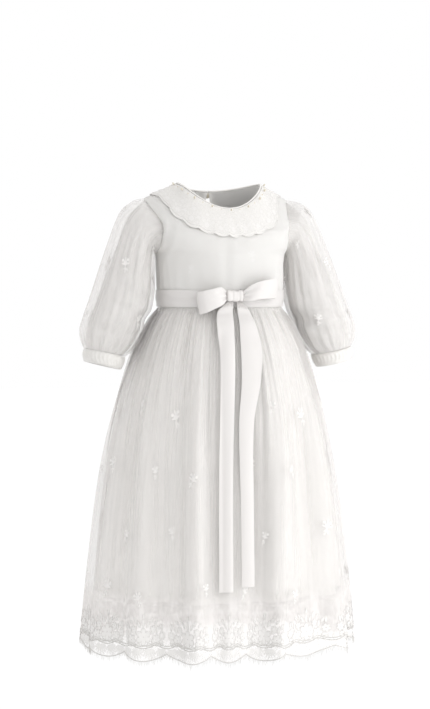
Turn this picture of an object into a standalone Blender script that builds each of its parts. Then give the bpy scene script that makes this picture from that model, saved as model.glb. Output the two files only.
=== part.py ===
"""Child's long-sleeved christening gown: satin under sheer tulle, worn form with nobody in it.

Metres, +Z up. The front faces -Y, and left means -X, the viewer's left. The origin is the middle of
the neck at the height of the neck points, where the wearer's shoulders carry the gown.
"""

import math
from collections import namedtuple

import bmesh
import bpy
from mathutils import Vector
from mathutils.bvhtree import BVHTree

# Thickness of each cloth wall, and the gap left between pieces that are sewn together
SATIN = 0.0013
TULLE = 0.0010
RIBBON = 0.0011
BINDING = 0.0030
SEAM_GAP = 0.0004

# Neck opening: an ellipse seen from above, cut lower at the front than at the back
NECK_HALF_WIDTH = 0.068
NECK_HALF_DEPTH = 0.048
FRONT_NECK_DROP = 0.040
BACK_NECK_DROP = 0.010
NECK_SHARE = 0.5  # share of a bodice panel's columns that end at the neckline
SHOULDER_TIP = Vector((0.118, 0.013, -0.022))
BINDING_HEIGHT = 0.005

# Slit at the centre back, closed at the nape by one button
SLIT_LENGTH = 0.085
SLIT_HALF_GAP = 0.0035
BUTTON_RADIUS = 0.0045
BUTTON_THICKNESS = 0.0030

# Levels of the bodice, top to bottom. The edge is the armhole above the underarm, the side seam below
Level = namedtuple("Level", "middle_z edge_z edge_x edge_y middle_y segments")
FRONT_LEVELS = (
    Level(-0.074, -0.062, 0.1035, -0.031, -0.071, 3),
    Level(-0.100, -0.094, 0.1020, -0.026, -0.079, 2),
    Level(-0.112, -0.108, 0.1030, -0.004, -0.082, 1),
    Level(-0.152, -0.150, 0.1010, -0.006, -0.083, 2),
    Level(-0.190, -0.190, 0.0990, -0.006, -0.081, 2),
)
BACK_LEVELS = (
    Level(-0.070, -0.062, 0.1050, 0.037, 0.061, 3),
    Level(-0.098, -0.094, 0.1030, 0.022, 0.067, 2),
    Level(-0.112, -0.108, 0.1030, -0.004, 0.069, 1),
    Level(-0.152, -0.150, 0.1010, -0.006, 0.069, 2),
    Level(-0.190, -0.190, 0.0990, -0.006, 0.069, 2),
)
UNDERARM_LEVEL = 3  # counted from the top edge
FRONT_COLUMNS = 20
BACK_COLUMNS = 10

# Lace collar, flat on the shoulders: the directions of its edge, seen from a point inside the chest
COLLAR_EYE = Vector((0.0, -0.002, -0.075))
COLLAR_COLUMNS = 63
COLLAR_ROWS = 5
COLLAR_SCALLOPS = 21
COLLAR_END_TURN = 173  # where the collar stops, either side of the slit
COLLAR_SCALLOP_DEPTH = 0.06
COLLAR_WAVES = 11
COLLAR_LIFT = 0.0045
COLLAR_CLEARANCE = TULLE + 0.0010
COLLAR_TUCK = 2.0  # degrees that its inner edge lies below the neck edge
CollarRow = namedtuple("CollarRow", "turn outer_rise")
COLLAR_EDGE = (
    CollarRow(0, -7),
    CollarRow(25, -4),
    CollarRow(40, 1),
    CollarRow(55, 8),
    CollarRow(68, 16),
    CollarRow(80, 24),
    CollarRow(92, 28.5),
    CollarRow(104, 26),
    CollarRow(120, 20),
    CollarRow(150, 16),
    CollarRow(180, 14),
)

# Sleeve outlines from armhole to cuff, for the +X side
Sleeve = namedtuple("Sleeve", "outer_x outer_z inner_x inner_z middle_y half_depth lining_gap")
SLEEVE_SECTIONS = (
    Sleeve(0.1370, -0.0260, 0.1052, -0.1100, 0.006, 0.0400, 0.0120),
    Sleeve(0.1525, -0.0390, 0.1056, -0.1140, 0.006, 0.0405, 0.014),
    Sleeve(0.1645, -0.0600, 0.1060, -0.1220, 0.005, 0.0400, 0.015),
    Sleeve(0.1750, -0.0840, 0.1062, -0.1330, 0.003, 0.0395, 0.015),
    Sleeve(0.1870, -0.1140, 0.1066, -0.1470, 0.000, 0.0400, 0.014),
    Sleeve(0.1990, -0.1470, 0.1080, -0.1670, -0.003, 0.0410, 0.012),
    Sleeve(0.2110, -0.1800, 0.1130, -0.1910, -0.005, 0.0420, 0.011),
    Sleeve(0.2200, -0.2030, 0.1220, -0.2150, -0.006, 0.0415, 0.010),
    Sleeve(0.2250, -0.2220, 0.1320, -0.2370, -0.006, 0.0395, 0.010),
    Sleeve(0.2235, -0.2380, 0.1430, -0.2530, -0.006, 0.0350, 0.007),
    Sleeve(0.2195, -0.2522, 0.1560, -0.2655, -0.006, 0.0300, 0.003),
)
CUFF_SECTIONS = (
    Sleeve(0.2195, -0.2527, 0.1560, -0.2662, -0.006, 0.0300, 0.0),
    Sleeve(0.2200, -0.2620, 0.1600, -0.2760, -0.007, 0.0290, 0.0),
    Sleeve(0.2195, -0.2720, 0.1640, -0.2855, -0.008, 0.0275, 0.0),
)
SLEEVE_COLUMNS = 30  # two to each of its 15 gathers
SLEEVE_LINING_COLUMNS = 16
HEAD_GATHER_DEPTH = 0.0022
CUFF_GATHER_DEPTH = 0.0028
CUFF_COLUMNS = 24
LINING_INNER_GAP = 0.0046  # room for the gathers between tulle and satin
LINING_HEAD_GAP = 0.0035  # how far inside the armhole edge the sleeve's lining starts
LINING_GAP_INSIDE = 0.12  # share of a section's lining gap on the sleeve's inner side
LINING_GAP_FRONT = 0.35  # and on its front and back
CUFF_SWELL = 0.0014
ARMHOLE_STEP = Vector((0.00055, 0.0, 0.0))

# Elbow creases and hanging folds of a sleeve: turn from the outer side towards the front
Crease = namedtuple("Crease", "turn half_turn along half_along depth")
SLEEVE_CREASES = (
    Crease(150, 55, 0.68, 0.07, 0.0060),
    Crease(115, 40, 0.56, 0.06, 0.0035),
    Crease(60, 35, 0.78, 0.06, 0.0030),
    Crease(250, 45, 0.66, 0.08, 0.0045),
)

# Skirt outlines from waist to hem
Section = namedtuple("Section", "z half_width half_depth middle_y")
OVERLAY_SECTIONS = (
    Section(-0.1905, 0.0990, 0.0750, -0.006),
    Section(-0.1980, 0.1030, 0.0790, -0.006),
    Section(-0.2100, 0.1110, 0.0870, -0.006),
    Section(-0.2260, 0.1195, 0.0950, -0.006),
    Section(-0.2570, 0.1345, 0.1090, -0.005),
    Section(-0.3000, 0.1500, 0.1230, -0.004),
    Section(-0.3500, 0.1650, 0.1360, -0.003),
    Section(-0.4130, 0.1790, 0.1470, -0.001),
    Section(-0.4910, 0.1915, 0.1570, 0.000),
    Section(-0.5690, 0.2015, 0.1650, 0.000),
    Section(-0.6470, 0.2100, 0.1710, 0.000),
    Section(-0.7060, 0.2155, 0.1755, 0.000),
)
LINING_SECTIONS = (
    Section(-0.1850, 0.0968, 0.0725, -0.006),
    Section(-0.1925, 0.0960, 0.0718, -0.006),
    Section(-0.2100, 0.1060, 0.0815, -0.006),
    Section(-0.2570, 0.1265, 0.1005, -0.005),
    Section(-0.3350, 0.1485, 0.1200, -0.003),
    Section(-0.4130, 0.1660, 0.1340, -0.001),
    Section(-0.4910, 0.1775, 0.1430, 0.000),
    Section(-0.5690, 0.1870, 0.1505, 0.000),
    Section(-0.6310, 0.1930, 0.1555, 0.000),
)
OVERLAY_ROWS = (
    -0.1905, -0.198, -0.210, -0.230, -0.260, -0.305,
    -0.365, -0.435, -0.510, -0.590, -0.660, -0.7060,
)
LINING_ROWS = (-0.1850, -0.1925, -0.210, -0.250, -0.310, -0.400, -0.510, -0.6310)
OVERLAY_COLUMNS = 96  # two to each of its 48 gathers, six to each scallop of the hem
LINING_COLUMNS = 48
GATHER_DEPTH = 0.0030
HEM_SCALLOPS = 16
HEM_SCALLOP_DEPTH = 0.011

# Hanging folds of the skirt, by degrees from the front middle towards +X, in order round the waist
Fold = namedtuple("Fold", "hem_turn waist_turn half_turn height")
SKIRT_FOLDS = (
    Fold(-165, -162, 12, 0.021),
    Fold(-137, -138, 14, 0.017),
    Fold(-107, -111, 13, 0.020),
    Fold(-77, -84, 15, 0.013),
    Fold(-50, -58, 12, 0.014),
    Fold(-22, -26, 14, 0.025),
    Fold(12, 25, 15, 0.024),
    Fold(49, 53, 15, 0.020),
    Fold(83, 81, 14, 0.014),
    Fold(110, 108, 13, 0.019),
    Fold(137, 136, 13, 0.023),
    Fold(165, 167, 14, 0.016),
)
FOLDS_FULL_Z = -0.50
FOLD_SINK = 0.009  # how far the cloth between folds lies inside the skirt's outline

# Ribbon sash and bow
SASH_TOP = -0.1635
SASH_BOTTOM = -0.1893
SASH_COLUMNS = 48
SASH_EASE = 0.0009  # room under the sash, so that its facets clear the bodice
BOW_MIDDLE = Vector((-0.007, -0.0903, -0.1725))
KNOT_SIZE = Vector((0.026, 0.011, 0.017))
RibbonPoint = namedtuple("RibbonPoint", "x y z width twist")
LEFT_LOOP = (
    RibbonPoint(-0.0133, -0.0012, 0.000, 0.010, 0),
    RibbonPoint(-0.0230, -0.0080, 0.000, 0.023, -6),
    RibbonPoint(-0.0360, -0.0100, -0.004, 0.030, -8),
    RibbonPoint(-0.0500, -0.0060, -0.009, 0.033, -8),
    RibbonPoint(-0.0565, 0.0040, -0.011, 0.034, -6),
    RibbonPoint(-0.0520, 0.0120, -0.010, 0.034, -4),
    RibbonPoint(-0.0380, 0.0075, -0.006, 0.030, -2),
    RibbonPoint(-0.0240, 0.0035, -0.003, 0.022, 0),
    RibbonPoint(-0.0133, 0.0018, 0.000, 0.010, 0),
)
RIGHT_LOOP = (
    RibbonPoint(0.0133, -0.0012, 0.000, 0.010, 0),
    RibbonPoint(0.0250, -0.0080, 0.005, 0.022, 6),
    RibbonPoint(0.0400, -0.0100, 0.009, 0.028, 8),
    RibbonPoint(0.0600, -0.0040, 0.011, 0.030, 8),
    RibbonPoint(0.0730, 0.0090, 0.011, 0.030, 6),
    RibbonPoint(0.0700, 0.0185, 0.010, 0.030, 4),
    RibbonPoint(0.0530, 0.0135, 0.007, 0.027, 2),
    RibbonPoint(0.0330, 0.0060, 0.003, 0.021, 0),
    RibbonPoint(0.0133, 0.0018, 0.000, 0.010, 0),
)
TAIL_TOP_Z = BOW_MIDDLE.z - 0.5 * KNOT_SIZE.z - 0.0003
TAIL_END_Z = -0.612
TAIL_STEPS = 16
TAIL_DROP_SHARE = 0.10  # share of a tail over which it leaves the knot for the skirt
Tail = namedtuple("Tail", "z turn width twist stand_off")
LEFT_TAIL = (
    Tail(TAIL_TOP_Z, -8.4, 0.010, 0, 0.004),
    Tail(-0.1980, -12.7, 0.026, -6, 0.005),
    Tail(-0.2600, -11.9, 0.023, -8, 0.003),
    Tail(-0.3600, -13.0, 0.021, -8, 0.003),
    Tail(-0.4800, -13.5, 0.021, -8, 0.003),
    Tail(TAIL_END_Z, -13.6, 0.021, -8, 0.003),
)
RIGHT_TAIL = (
    Tail(TAIL_TOP_Z, 0.3, 0.008, 0, 0.004),
    Tail(-0.1980, 4.6, 0.021, -2, 0.005),
    Tail(-0.2500, 4.6, 0.034, -8, 0.003),
    Tail(-0.3000, 1.8, 0.030, -8, 0.003),
    Tail(-0.3600, -2.6, 0.023, -6, 0.003),
    Tail(-0.4800, -3.4, 0.020, -6, 0.003),
    Tail(TAIL_END_Z + 0.006, -4.0, 0.020, -6, 0.003),
)
RIBBON_STEPS = 2  # points between two rows of a ribbon's table


def clear_scene():
    """Start from an empty scene."""
    for item in list(bpy.data.objects):
        bpy.data.objects.remove(item, do_unlink=True)


def material(name, colour, roughness, sheen=0.0):
    """A fabric: base colour, roughness and a little sheen."""
    made = bpy.data.materials.new(name)
    made.use_nodes = True
    shader = made.node_tree.nodes["Principled BSDF"]
    shader.inputs["Base Color"].default_value = (*colour, 1.0)
    shader.inputs["Roughness"].default_value = roughness
    shader.inputs["Metallic"].default_value = 0.0
    shader.inputs["Sheen Weight"].default_value = sheen
    return made


def smooth(value):
    """0 below 0, 1 above 1, and an even curve between."""
    value = min(max(value, 0.0), 1.0)
    return value * value * (3.0 - 2.0 * value)


def hermite(values, places, at):
    """Smooth curve through values at growing places, read at one place."""
    last = len(places) - 1
    at = min(max(at, places[0]), places[last])
    i = 0
    while i < last - 1 and at > places[i + 1]:
        i += 1
    span = places[i + 1] - places[i]
    t = (at - places[i]) / span

    def slope(k):
        low, high = max(k - 1, 0), min(k + 1, last)
        return (values[high] - values[low]) / (places[high] - places[low])

    start, end = slope(i) * span, slope(i + 1) * span
    t2, t3 = t * t, t * t * t
    return (
        values[i] * (2 * t3 - 3 * t2 + 1)
        + start * (t3 - 2 * t2 + t)
        + values[i + 1] * (3 * t2 - 2 * t3)
        + end * (t3 - t2)
    )


def column_of(rows, name, places, at):
    """One named column of a table, read between its rows."""
    return hermite([getattr(row, name) for row in rows], places, at)


def normals_of(rows, closed):
    """Outward direction at each point of a grid whose rows run down and points run round."""
    down_last, across = len(rows) - 1, len(rows[0])
    found = []
    for i in range(len(rows)):
        line = []
        for j in range(across):
            if closed:
                left, right = j - 1, (j + 1) % across
            else:
                left, right = max(j - 1, 0), min(j + 1, across - 1)
            along = rows[i][right] - rows[i][left]
            down = rows[min(i + 1, down_last)][j] - rows[max(i - 1, 0)][j]
            line.append(down.cross(along).normalized())
        found.append(line)
    return found


def triangles(quad, points):
    """A quad split along its shorter diagonal."""
    a, b, c, d = quad
    if (points[a] - points[c]).length <= (points[b] - points[d]).length:
        return (a, b, c), (a, c, d)
    return (a, b, d), (b, c, d)


def cloth(name, rows, closed, thickness, finish, seams=None):
    """A wall of cloth. Rows run down and points run round from the front to +X; the wall grows inwards.

    Outside and inside are split into triangles the same way, so that they stay apart on a twisted quad.

    seams(i, j) names the axis across a seam at a point, so that the wall's edge there stays square to it.
    """
    across = len(rows[0])
    normals = normals_of(rows, closed)
    outer, inner = [], []
    for i, row in enumerate(rows):
        for j, point in enumerate(row):
            normal = normals[i][j]
            axis = seams(i, j) if seams else None
            if axis is not None:
                normal[axis] = 0.0
                normal.normalize()
            outer.append(point)
            inner.append(point - normal * thickness)
    total = len(outer)
    faces = []
    for i in range(len(rows) - 1):
        for j in range(across if closed else across - 1):
            k = (j + 1) % across
            quad = (i * across + j, (i + 1) * across + j, (i + 1) * across + k, i * across + k)
            for a, b, c in triangles(quad, outer):
                faces.append((a, b, c))
                faces.append((total + c, total + b, total + a))
    last = (len(rows) - 1) * across
    edge = [(j, (j + 1) % across) for j in range(across if closed else across - 1)]
    edge += [(last + b, last + a) for a, b in edge]
    if not closed:
        side = [(i * across, (i + 1) * across) for i in range(len(rows) - 1)]
        edge += [(b, a) for a, b in side]
        edge += [(a + across - 1, b + across - 1) for a, b in side]
    faces += [(a, b, total + b, total + a) for a, b in edge]
    mesh = bpy.data.meshes.new(name)
    mesh.from_pydata(outer + inner, [], faces)
    mesh.validate()
    piece = bpy.data.objects.new(name, mesh)
    bpy.context.collection.objects.link(piece)
    mesh.materials.append(finish)
    mesh.shade_smooth()
    return piece


def curve_point(stops, places, at):
    """A point of the smooth curve through some stops."""
    return Vector(hermite([stop[axis] for stop in stops], places, at) for axis in range(3))


def neck_point(turn, front):
    """A point of the neckline: turn is 0 at its middle and +-90 at the neck points."""
    angle = math.radians(turn)
    drop = FRONT_NECK_DROP if front else BACK_NECK_DROP
    y = (-1 if front else 1) * NECK_HALF_DEPTH * math.cos(angle)
    return Vector((NECK_HALF_WIDTH * math.sin(angle), y, -drop * math.cos(angle) ** 2))


def top_point(share, front):
    """The top edge of a bodice panel: neckline in the middle, shoulder seam beside it."""
    if abs(share) <= NECK_SHARE:
        return neck_point(90 * share / NECK_SHARE, front)
    side = math.copysign(1.0, share)
    along = (abs(share) - NECK_SHARE) / (1 - NECK_SHARE)
    start = neck_point(90, front)
    point = start.lerp(SHOULDER_TIP, along)
    point.x *= side
    return point


def level_point(level, share):
    """A point of one bodice level: share is 0 at the middle of the panel and +-1 at its edges."""
    angle = math.radians(90 * share)
    rise = level.edge_z - level.middle_z
    return Vector((
        level.edge_x * math.sin(angle),
        level.edge_y + (level.middle_y - level.edge_y) * math.cos(angle),
        level.middle_z + rise * abs(share) ** 2,
    ))


def panel_column(share, front):
    """One line of bodice points, from the top edge down to the waist."""
    levels = FRONT_LEVELS if front else BACK_LEVELS
    stops = [top_point(share, front)] + [level_point(level, share) for level in levels]
    places = [0.0]
    for before, after in zip(stops, stops[1:]):
        places.append(places[-1] + (after - before).length)
    line = []
    for i, level in enumerate(levels):
        for step in range(level.segments):
            line.append((i, places[i] + (places[i + 1] - places[i]) * step / level.segments))
    line.append((len(levels), places[-1]))
    corner = abs(share) ** 6
    column = []
    for i, at in line:
        whole = curve_point(stops, places, at)
        if i < UNDERARM_LEVEL:
            split = curve_point(stops[:UNDERARM_LEVEL + 1], places[:UNDERARM_LEVEL + 1], at)
        else:
            split = curve_point(stops[UNDERARM_LEVEL:], places[UNDERARM_LEVEL:], at)
        column.append(whole.lerp(split, corner))
    return column


def panel_rows(shares, front):
    """Rows of bodice points for a run of columns."""
    columns = [panel_column(share, front) for share in shares]
    seam = (-0.5 if front else 0.5) * SEAM_GAP
    for share, column in zip(shares, columns):
        column[0].y += seam * min(abs(share) / NECK_SHARE, 1)
        if abs(share) > 0.999:
            underarm = FRONT_LEVELS[2].edge_z
            for point in column:
                if point.z <= underarm + 0.001:
                    point.y += seam
    return [list(row) for row in zip(*columns)]


def slit_gap(z):
    """Half the width of the centre-back slit at a height."""
    depth = (-BACK_NECK_DROP - z) / SLIT_LENGTH
    if depth < 0 or depth > 1:
        return 0.5 * SEAM_GAP
    return 0.5 * SEAM_GAP + SLIT_HALF_GAP * math.sin(math.pi * depth ** 0.6)


def make_bodice(finish):
    """Front panel, and two back panels with the slit between them."""
    shares = [-1 + 2 * i / FRONT_COLUMNS for i in range(FRONT_COLUMNS + 1)]
    underarm = sum(level.segments for level in FRONT_LEVELS[:UNDERARM_LEVEL])

    def front_seams(i, j):
        shoulder = i == 0 and abs(shares[j]) > NECK_SHARE - 0.001
        side = i >= underarm and j in (0, FRONT_COLUMNS)
        return 1 if shoulder or side else None

    pieces = [cloth("bodice_front", panel_rows(shares, True), False, SATIN, finish, front_seams)]
    for name, side in (("bodice_back_right", 1), ("bodice_back_left", -1)):
        shares = [side * i / BACK_COLUMNS for i in range(BACK_COLUMNS + 1)]
        if side > 0:
            shares.reverse()
        rows = panel_rows(shares, False)
        middle = BACK_COLUMNS if side > 0 else 0
        for row in rows:
            row[middle].x = side * slit_gap(row[middle].z)

        def back_seams(i, j, edge=BACK_COLUMNS - middle, centre=middle):
            if j == centre:
                return 0
            shoulder = i == 0 and abs(shares[j]) > NECK_SHARE - 0.001
            side_seam = i >= underarm and j == edge
            return 1 if shoulder or side_seam else None

        pieces.append(cloth(name, rows, False, SATIN, finish, back_seams))
    return pieces


def bodice_tree():
    """The outside of the bodice with its seams and slit closed, for laying other pieces on it."""
    points, faces = [], []
    for front, count in ((True, FRONT_COLUMNS), (False, 2 * BACK_COLUMNS)):
        shares = [-1 + 2 * i / count for i in range(count + 1)]
        columns = [panel_column(share, front) for share in shares]
        start, down = len(points), len(columns[0])
        points += [point for column in columns for point in column]
        for j in range(count):
            for i in range(down - 1):
                near, far = start + j * down + i, start + (j + 1) * down + i
                quad = (near, near + 1, far + 1, far) if front else (near, far, far + 1, near + 1)
                faces += triangles(quad, points)
    return BVHTree.FromPolygons(points, faces)


def collar_direction(turn, rise):
    """A unit vector by degrees round from the front and degrees up."""
    angle, lift = math.radians(turn), math.radians(rise)
    flat = math.cos(lift)
    return Vector((math.sin(angle) * flat, -math.cos(angle) * flat, math.sin(lift)))


def neck_rise(turn):
    """How far up the neckline lies from the collar's eye, and the point itself."""
    best = None
    for step in range(181):
        front = abs(turn) <= 90
        point = neck_point(step - 90, front)
        seen = point - COLLAR_EYE
        angle = math.degrees(math.atan2(seen.x, -seen.y))
        miss = abs((angle - turn + 180) % 360 - 180)
        if best is None or miss < best[0]:
            best = (miss, math.degrees(math.atan2(seen.z, math.hypot(seen.x, seen.y))))
    return best[1]


def make_collar(tree, finish):
    """Round lace collar, open at the centre back, laid on the bodice and lifting in soft waves."""
    turns = [row.turn for row in COLLAR_EDGE]
    ways = [[] for _ in range(COLLAR_ROWS + 1)]
    reach = [[] for _ in range(COLLAR_ROWS + 1)]
    for j in range(COLLAR_COLUMNS + 1):
        turn = COLLAR_END_TURN * (2 * j / COLLAR_COLUMNS - 1)
        inner = neck_rise(turn) - COLLAR_TUCK
        outer = column_of(COLLAR_EDGE, "outer_rise", turns, abs(turn))
        scallop = abs(math.sin(math.pi * COLLAR_SCALLOPS * j / COLLAR_COLUMNS))
        wave = 0.5 + 0.5 * math.sin(2 * math.pi * COLLAR_WAVES * j / COLLAR_COLUMNS + 0.6)
        for i in range(COLLAR_ROWS + 1):
            down = i / COLLAR_ROWS
            share = down * (1 + COLLAR_SCALLOP_DEPTH * (scallop - 1) * down ** 3)
            way = collar_direction(turn, inner + (outer - inner) * share)
            ways[i].append(way)
            reach[i].append(bodice_reach(tree, way) + COLLAR_LIFT * wave * down ** 1.5)
    lift_clear(tree, ways, reach)
    rows = [
        [COLLAR_EYE + way * far for way, far in zip(way_row, reach_row)]
        for way_row, reach_row in zip(ways, reach)
    ]
    return cloth("lace_collar", rows, False, TULLE, finish)


def bodice_reach(tree, way):
    """How far from the collar's eye a wall laid on the bodice must lie, along one direction."""
    hit, normal, _, _ = tree.ray_cast(COLLAR_EYE + way * 0.4, -way)
    return (hit - COLLAR_EYE).length + COLLAR_CLEARANCE / max(normal.dot(way), 0.35)


def lift_clear(tree, ways, reach):
    """Push the collar's points out until every facet between them clears the bodice too."""
    shares = (0.0, 0.5, 1.0)
    for _ in range(6):
        for i in range(len(reach) - 1):
            for j in range(len(reach[0]) - 1):
                corners = ((i, j), (i + 1, j), (i, j + 1), (i + 1, j + 1))
                points = [ways[a][b] * reach[a][b] for a, b in corners]
                short = 0.0
                for down in shares:
                    left = points[0].lerp(points[1], down)
                    right = points[2].lerp(points[3], down)
                    for along in shares:
                        point = left.lerp(right, along)
                        short = max(short, bodice_reach(tree, point.normalized()) - point.length)
                for a, b in corners:
                    reach[a][b] += short


def neck_edge():
    """The bodice's top edge round the neck, from the left of the slit to its right, with midpoints."""
    half = int(NECK_SHARE * BACK_COLUMNS)
    front = [neck_point(90 * i / half, True) for i in range(-half, half + 1)]
    back = [neck_point(90 * i / half, False) for i in range(half + 1)]
    back[0].x = 0.5 * SEAM_GAP
    left = [Vector((-point.x, point.y, point.z)) for point in back]
    stops = left[:-1] + front + list(reversed(back[:-1]))
    edge = [stops[0]]
    for before, after in zip(stops, stops[1:]):
        edge += [before.lerp(after, 0.5), after]
    return edge


def make_binding(finish):
    """Narrow rolled binding on the neck edge, its ends meeting under the button at the nape."""
    middle, half = 0.5 * BINDING_HEIGHT, 0.5 * BINDING
    rows = [[] for _ in range(6)]
    for point in neck_edge():
        out = Vector((point.x / NECK_HALF_WIDTH ** 2, point.y / NECK_HALF_DEPTH ** 2, 0)).normalized()
        base = point + Vector((0, 0, SEAM_GAP + middle)) - out * 0.5 * SATIN
        for i in range(6):
            angle = math.radians(90 - 60 * i)
            rows[i].append(base + out * half * math.cos(angle) + Vector((0, 0, middle * math.sin(angle))))
    mesh = bpy.data.meshes.new("neck_binding")
    shape = bmesh.new()
    rings = [[shape.verts.new(row[j]) for row in rows] for j in range(len(rows[0]))]
    for near, far in zip(rings, rings[1:]):
        for i in range(6):
            k = (i + 1) % 6
            shape.faces.new((near[i], near[k], far[k], far[i]))
    shape.faces.new(rings[0])
    shape.faces.new(rings[-1])
    bmesh.ops.recalc_face_normals(shape, faces=shape.faces)
    shape.to_mesh(mesh)
    shape.free()
    piece = bpy.data.objects.new("neck_binding", mesh)
    bpy.context.collection.objects.link(piece)
    mesh.materials.append(finish)
    return piece


def make_button(tree, finish):
    """Small round button at the nape, on the right back panel's top corner."""
    height = -BACK_NECK_DROP - BUTTON_RADIUS - 0.001
    hit, normal, _, _ = tree.ray_cast(Vector((0.004, 0.3, height)), Vector((0, -1, 0)))
    shape = bmesh.new()
    bmesh.ops.create_cone(
        shape, cap_ends=True, segments=16,
        radius1=BUTTON_RADIUS, radius2=0.8 * BUTTON_RADIUS, depth=BUTTON_THICKNESS,
    )
    mesh = bpy.data.meshes.new("nape_button")
    shape.to_mesh(mesh)
    shape.free()
    piece = bpy.data.objects.new("nape_button", mesh)
    bpy.context.collection.objects.link(piece)
    out = Vector((0, normal.y, normal.z)).normalized()
    piece.rotation_mode = "QUATERNION"
    piece.rotation_quaternion = out.to_track_quat("Z", "Y")
    piece.location = Vector((0, hit.y, hit.z)) + out * (0.5 * BUTTON_THICKNESS + 0.0007)
    mesh.materials.append(finish)
    return piece


def armhole_loop(count, side, shrink):
    """The armhole edge as points: from the shoulder tip down the front, under the arm and up the back."""
    underarm = sum(level.segments for level in FRONT_LEVELS[:UNDERARM_LEVEL])
    front = panel_column(1.0, True)[: underarm + 1]
    back = panel_column(1.0, False)[: underarm + 1]
    middle = Vector((0.0, 0.0, 0.0))
    for point in front + back:
        middle += point / (len(front) + len(back))
    loop = []
    for half in (front, list(reversed(back))):
        places = [0.0]
        for before, after in zip(half, half[1:]):
            places.append(places[-1] + (after - before).length)
        for i in range(count // 2):
            at = places[-1] * i / (count // 2)
            point = curve_point(half, places, at)
            inwards = middle - point
            inwards.x = 0.0
            point += inwards.normalized() * shrink + ARMHOLE_STEP
            point.x *= side
            loop.append(point)
    return loop


def sleeve_ring(rows, at, count, side, inset, puff=0.0):
    """One ring of a sleeve at a place in its table, drawn in by an inset and pushed out by puff(turn)."""
    places = list(range(len(rows)))
    value = {name: column_of(rows, name, places, at) for name in Sleeve._fields}
    outer = Vector((value["outer_x"], value["middle_y"], value["outer_z"]))
    inner = Vector((value["inner_x"], value["middle_y"], value["inner_z"]))
    across = (outer - inner).normalized()
    outer -= across * inset * value["lining_gap"]
    inner += across * inset * (LINING_INNER_GAP + LINING_GAP_INSIDE * value["lining_gap"])
    middle = 0.5 * (outer + inner)
    half = 0.5 * (outer - inner).length
    front_gap = LINING_INNER_GAP + LINING_GAP_FRONT * value["lining_gap"]
    depth = value["half_depth"] - inset * front_gap
    ring = []
    for j in range(count):
        turn = 360 * j / count
        angle = math.radians(turn)
        extra = puff(turn, j) if puff else 0.0
        point = middle + across * (half + extra) * math.cos(angle)
        point.y -= (depth + extra) * math.sin(angle)
        point.x *= side
        ring.append(point)
    return ring


def crease_depth(turn, along):
    """How far the elbow creases pull the sleeve in."""
    depth = 0.0
    for crease in SLEEVE_CREASES:
        near = (turn - crease.turn + 180) % 360 - 180
        a, b = near / crease.half_turn, (along - crease.along) / crease.half_along
        if abs(a) < 1 and abs(b) < 1:
            depth += crease.depth * math.cos(0.5 * math.pi * a) ** 2 * math.cos(0.5 * math.pi * b) ** 2
    return depth


def make_sleeve(side, word, sheer, satin):
    """Full tulle sleeve gathered into armhole and cuff, its satin sleeve inside, and the cuff band."""
    last = len(SLEEVE_SECTIONS) - 1

    def puff_at(at, share):
        along = at / last

        def puff(turn, j):
            wave = 1 if j % 2 == 0 else -1
            upper = smooth(0.5 + 0.6 * math.cos(math.radians(turn)))
            head = HEAD_GATHER_DEPTH * upper * smooth(0.15 + along * 8) * smooth(1 - along * 2.6)
            cuff = CUFF_GATHER_DEPTH * smooth((along - 0.62) * 3.2) * smooth((1.03 - along) * 9)
            return share * wave * (head + cuff) - crease_depth(turn, along)
        return puff

    rings = [armhole_loop(SLEEVE_COLUMNS, side, 0.0)]
    stops = (0, 1, 2.2, 3.6, 5, 6.2, 7.2, 8.2, 9.1, 9.75, 10)
    rings += [sleeve_ring(SLEEVE_SECTIONS, at, SLEEVE_COLUMNS, side, 0.0, puff_at(at, 1.0)) for at in stops]
    rings = [order_ring(ring, side) for ring in rings]
    pieces = [cloth(f"sleeve_{word}", rings, True, TULLE, sheer)]

    rings = [armhole_loop(SLEEVE_LINING_COLUMNS, side, LINING_HEAD_GAP)]
    stops = (0, 1.3, 3.2, 5.2, 6.8, 8.4, 10)
    rings += [
        sleeve_ring(SLEEVE_SECTIONS, at, SLEEVE_LINING_COLUMNS, side, 1.0, puff_at(at, 0.0)) for at in stops
    ]
    rings = [order_ring(ring, side) for ring in rings]
    pieces.append(cloth(f"sleeve_lining_{word}", rings, True, TULLE, satin))

    stops = (0, 1, 2)
    swell = (0.0, CUFF_SWELL, 0.0)
    rings = [
        sleeve_ring(CUFF_SECTIONS, at, CUFF_COLUMNS, side, 0.0, lambda turn, j, out=out: out)
        for at, out in zip(stops, swell)
    ]
    rings = [order_ring(ring, side) for ring in rings]
    pieces.append(cloth(f"cuff_{word}", rings, True, SATIN, satin))
    return pieces


def order_ring(ring, side):
    """Turn a sleeve ring so that its faces point out on either side."""
    if side > 0:
        return [ring[0]] + list(reversed(ring[1:]))
    return ring


def fold_height(turn, z):
    """How far the skirt's hanging folds stand out, at a turn counted at the waist and a height."""
    grown = smooth((OVERLAY_SECTIONS[0].z - z) / (OVERLAY_SECTIONS[0].z - FOLDS_FULL_Z))
    height = 0.0
    for fold in SKIRT_FOLDS:
        near = ((turn - fold.waist_turn + 180) % 360 - 180) / fold.half_turn
        if abs(near) < 1:
            height += fold.height * math.cos(0.5 * math.pi * near) ** 2
    return grown * (height - FOLD_SINK)


def drift(turn):
    """How far the cloth that leaves the waist at a turn has swung round by the hem."""
    after = min(range(len(SKIRT_FOLDS)), key=lambda i: (SKIRT_FOLDS[i].waist_turn - turn) % 360)
    near, far = SKIRT_FOLDS[after - 1], SKIRT_FOLDS[after]
    share = ((turn - near.waist_turn) % 360) / ((far.waist_turn - near.waist_turn) % 360)
    return (near.hem_turn - near.waist_turn) * (1 - share) + (far.hem_turn - far.waist_turn) * share


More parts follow.
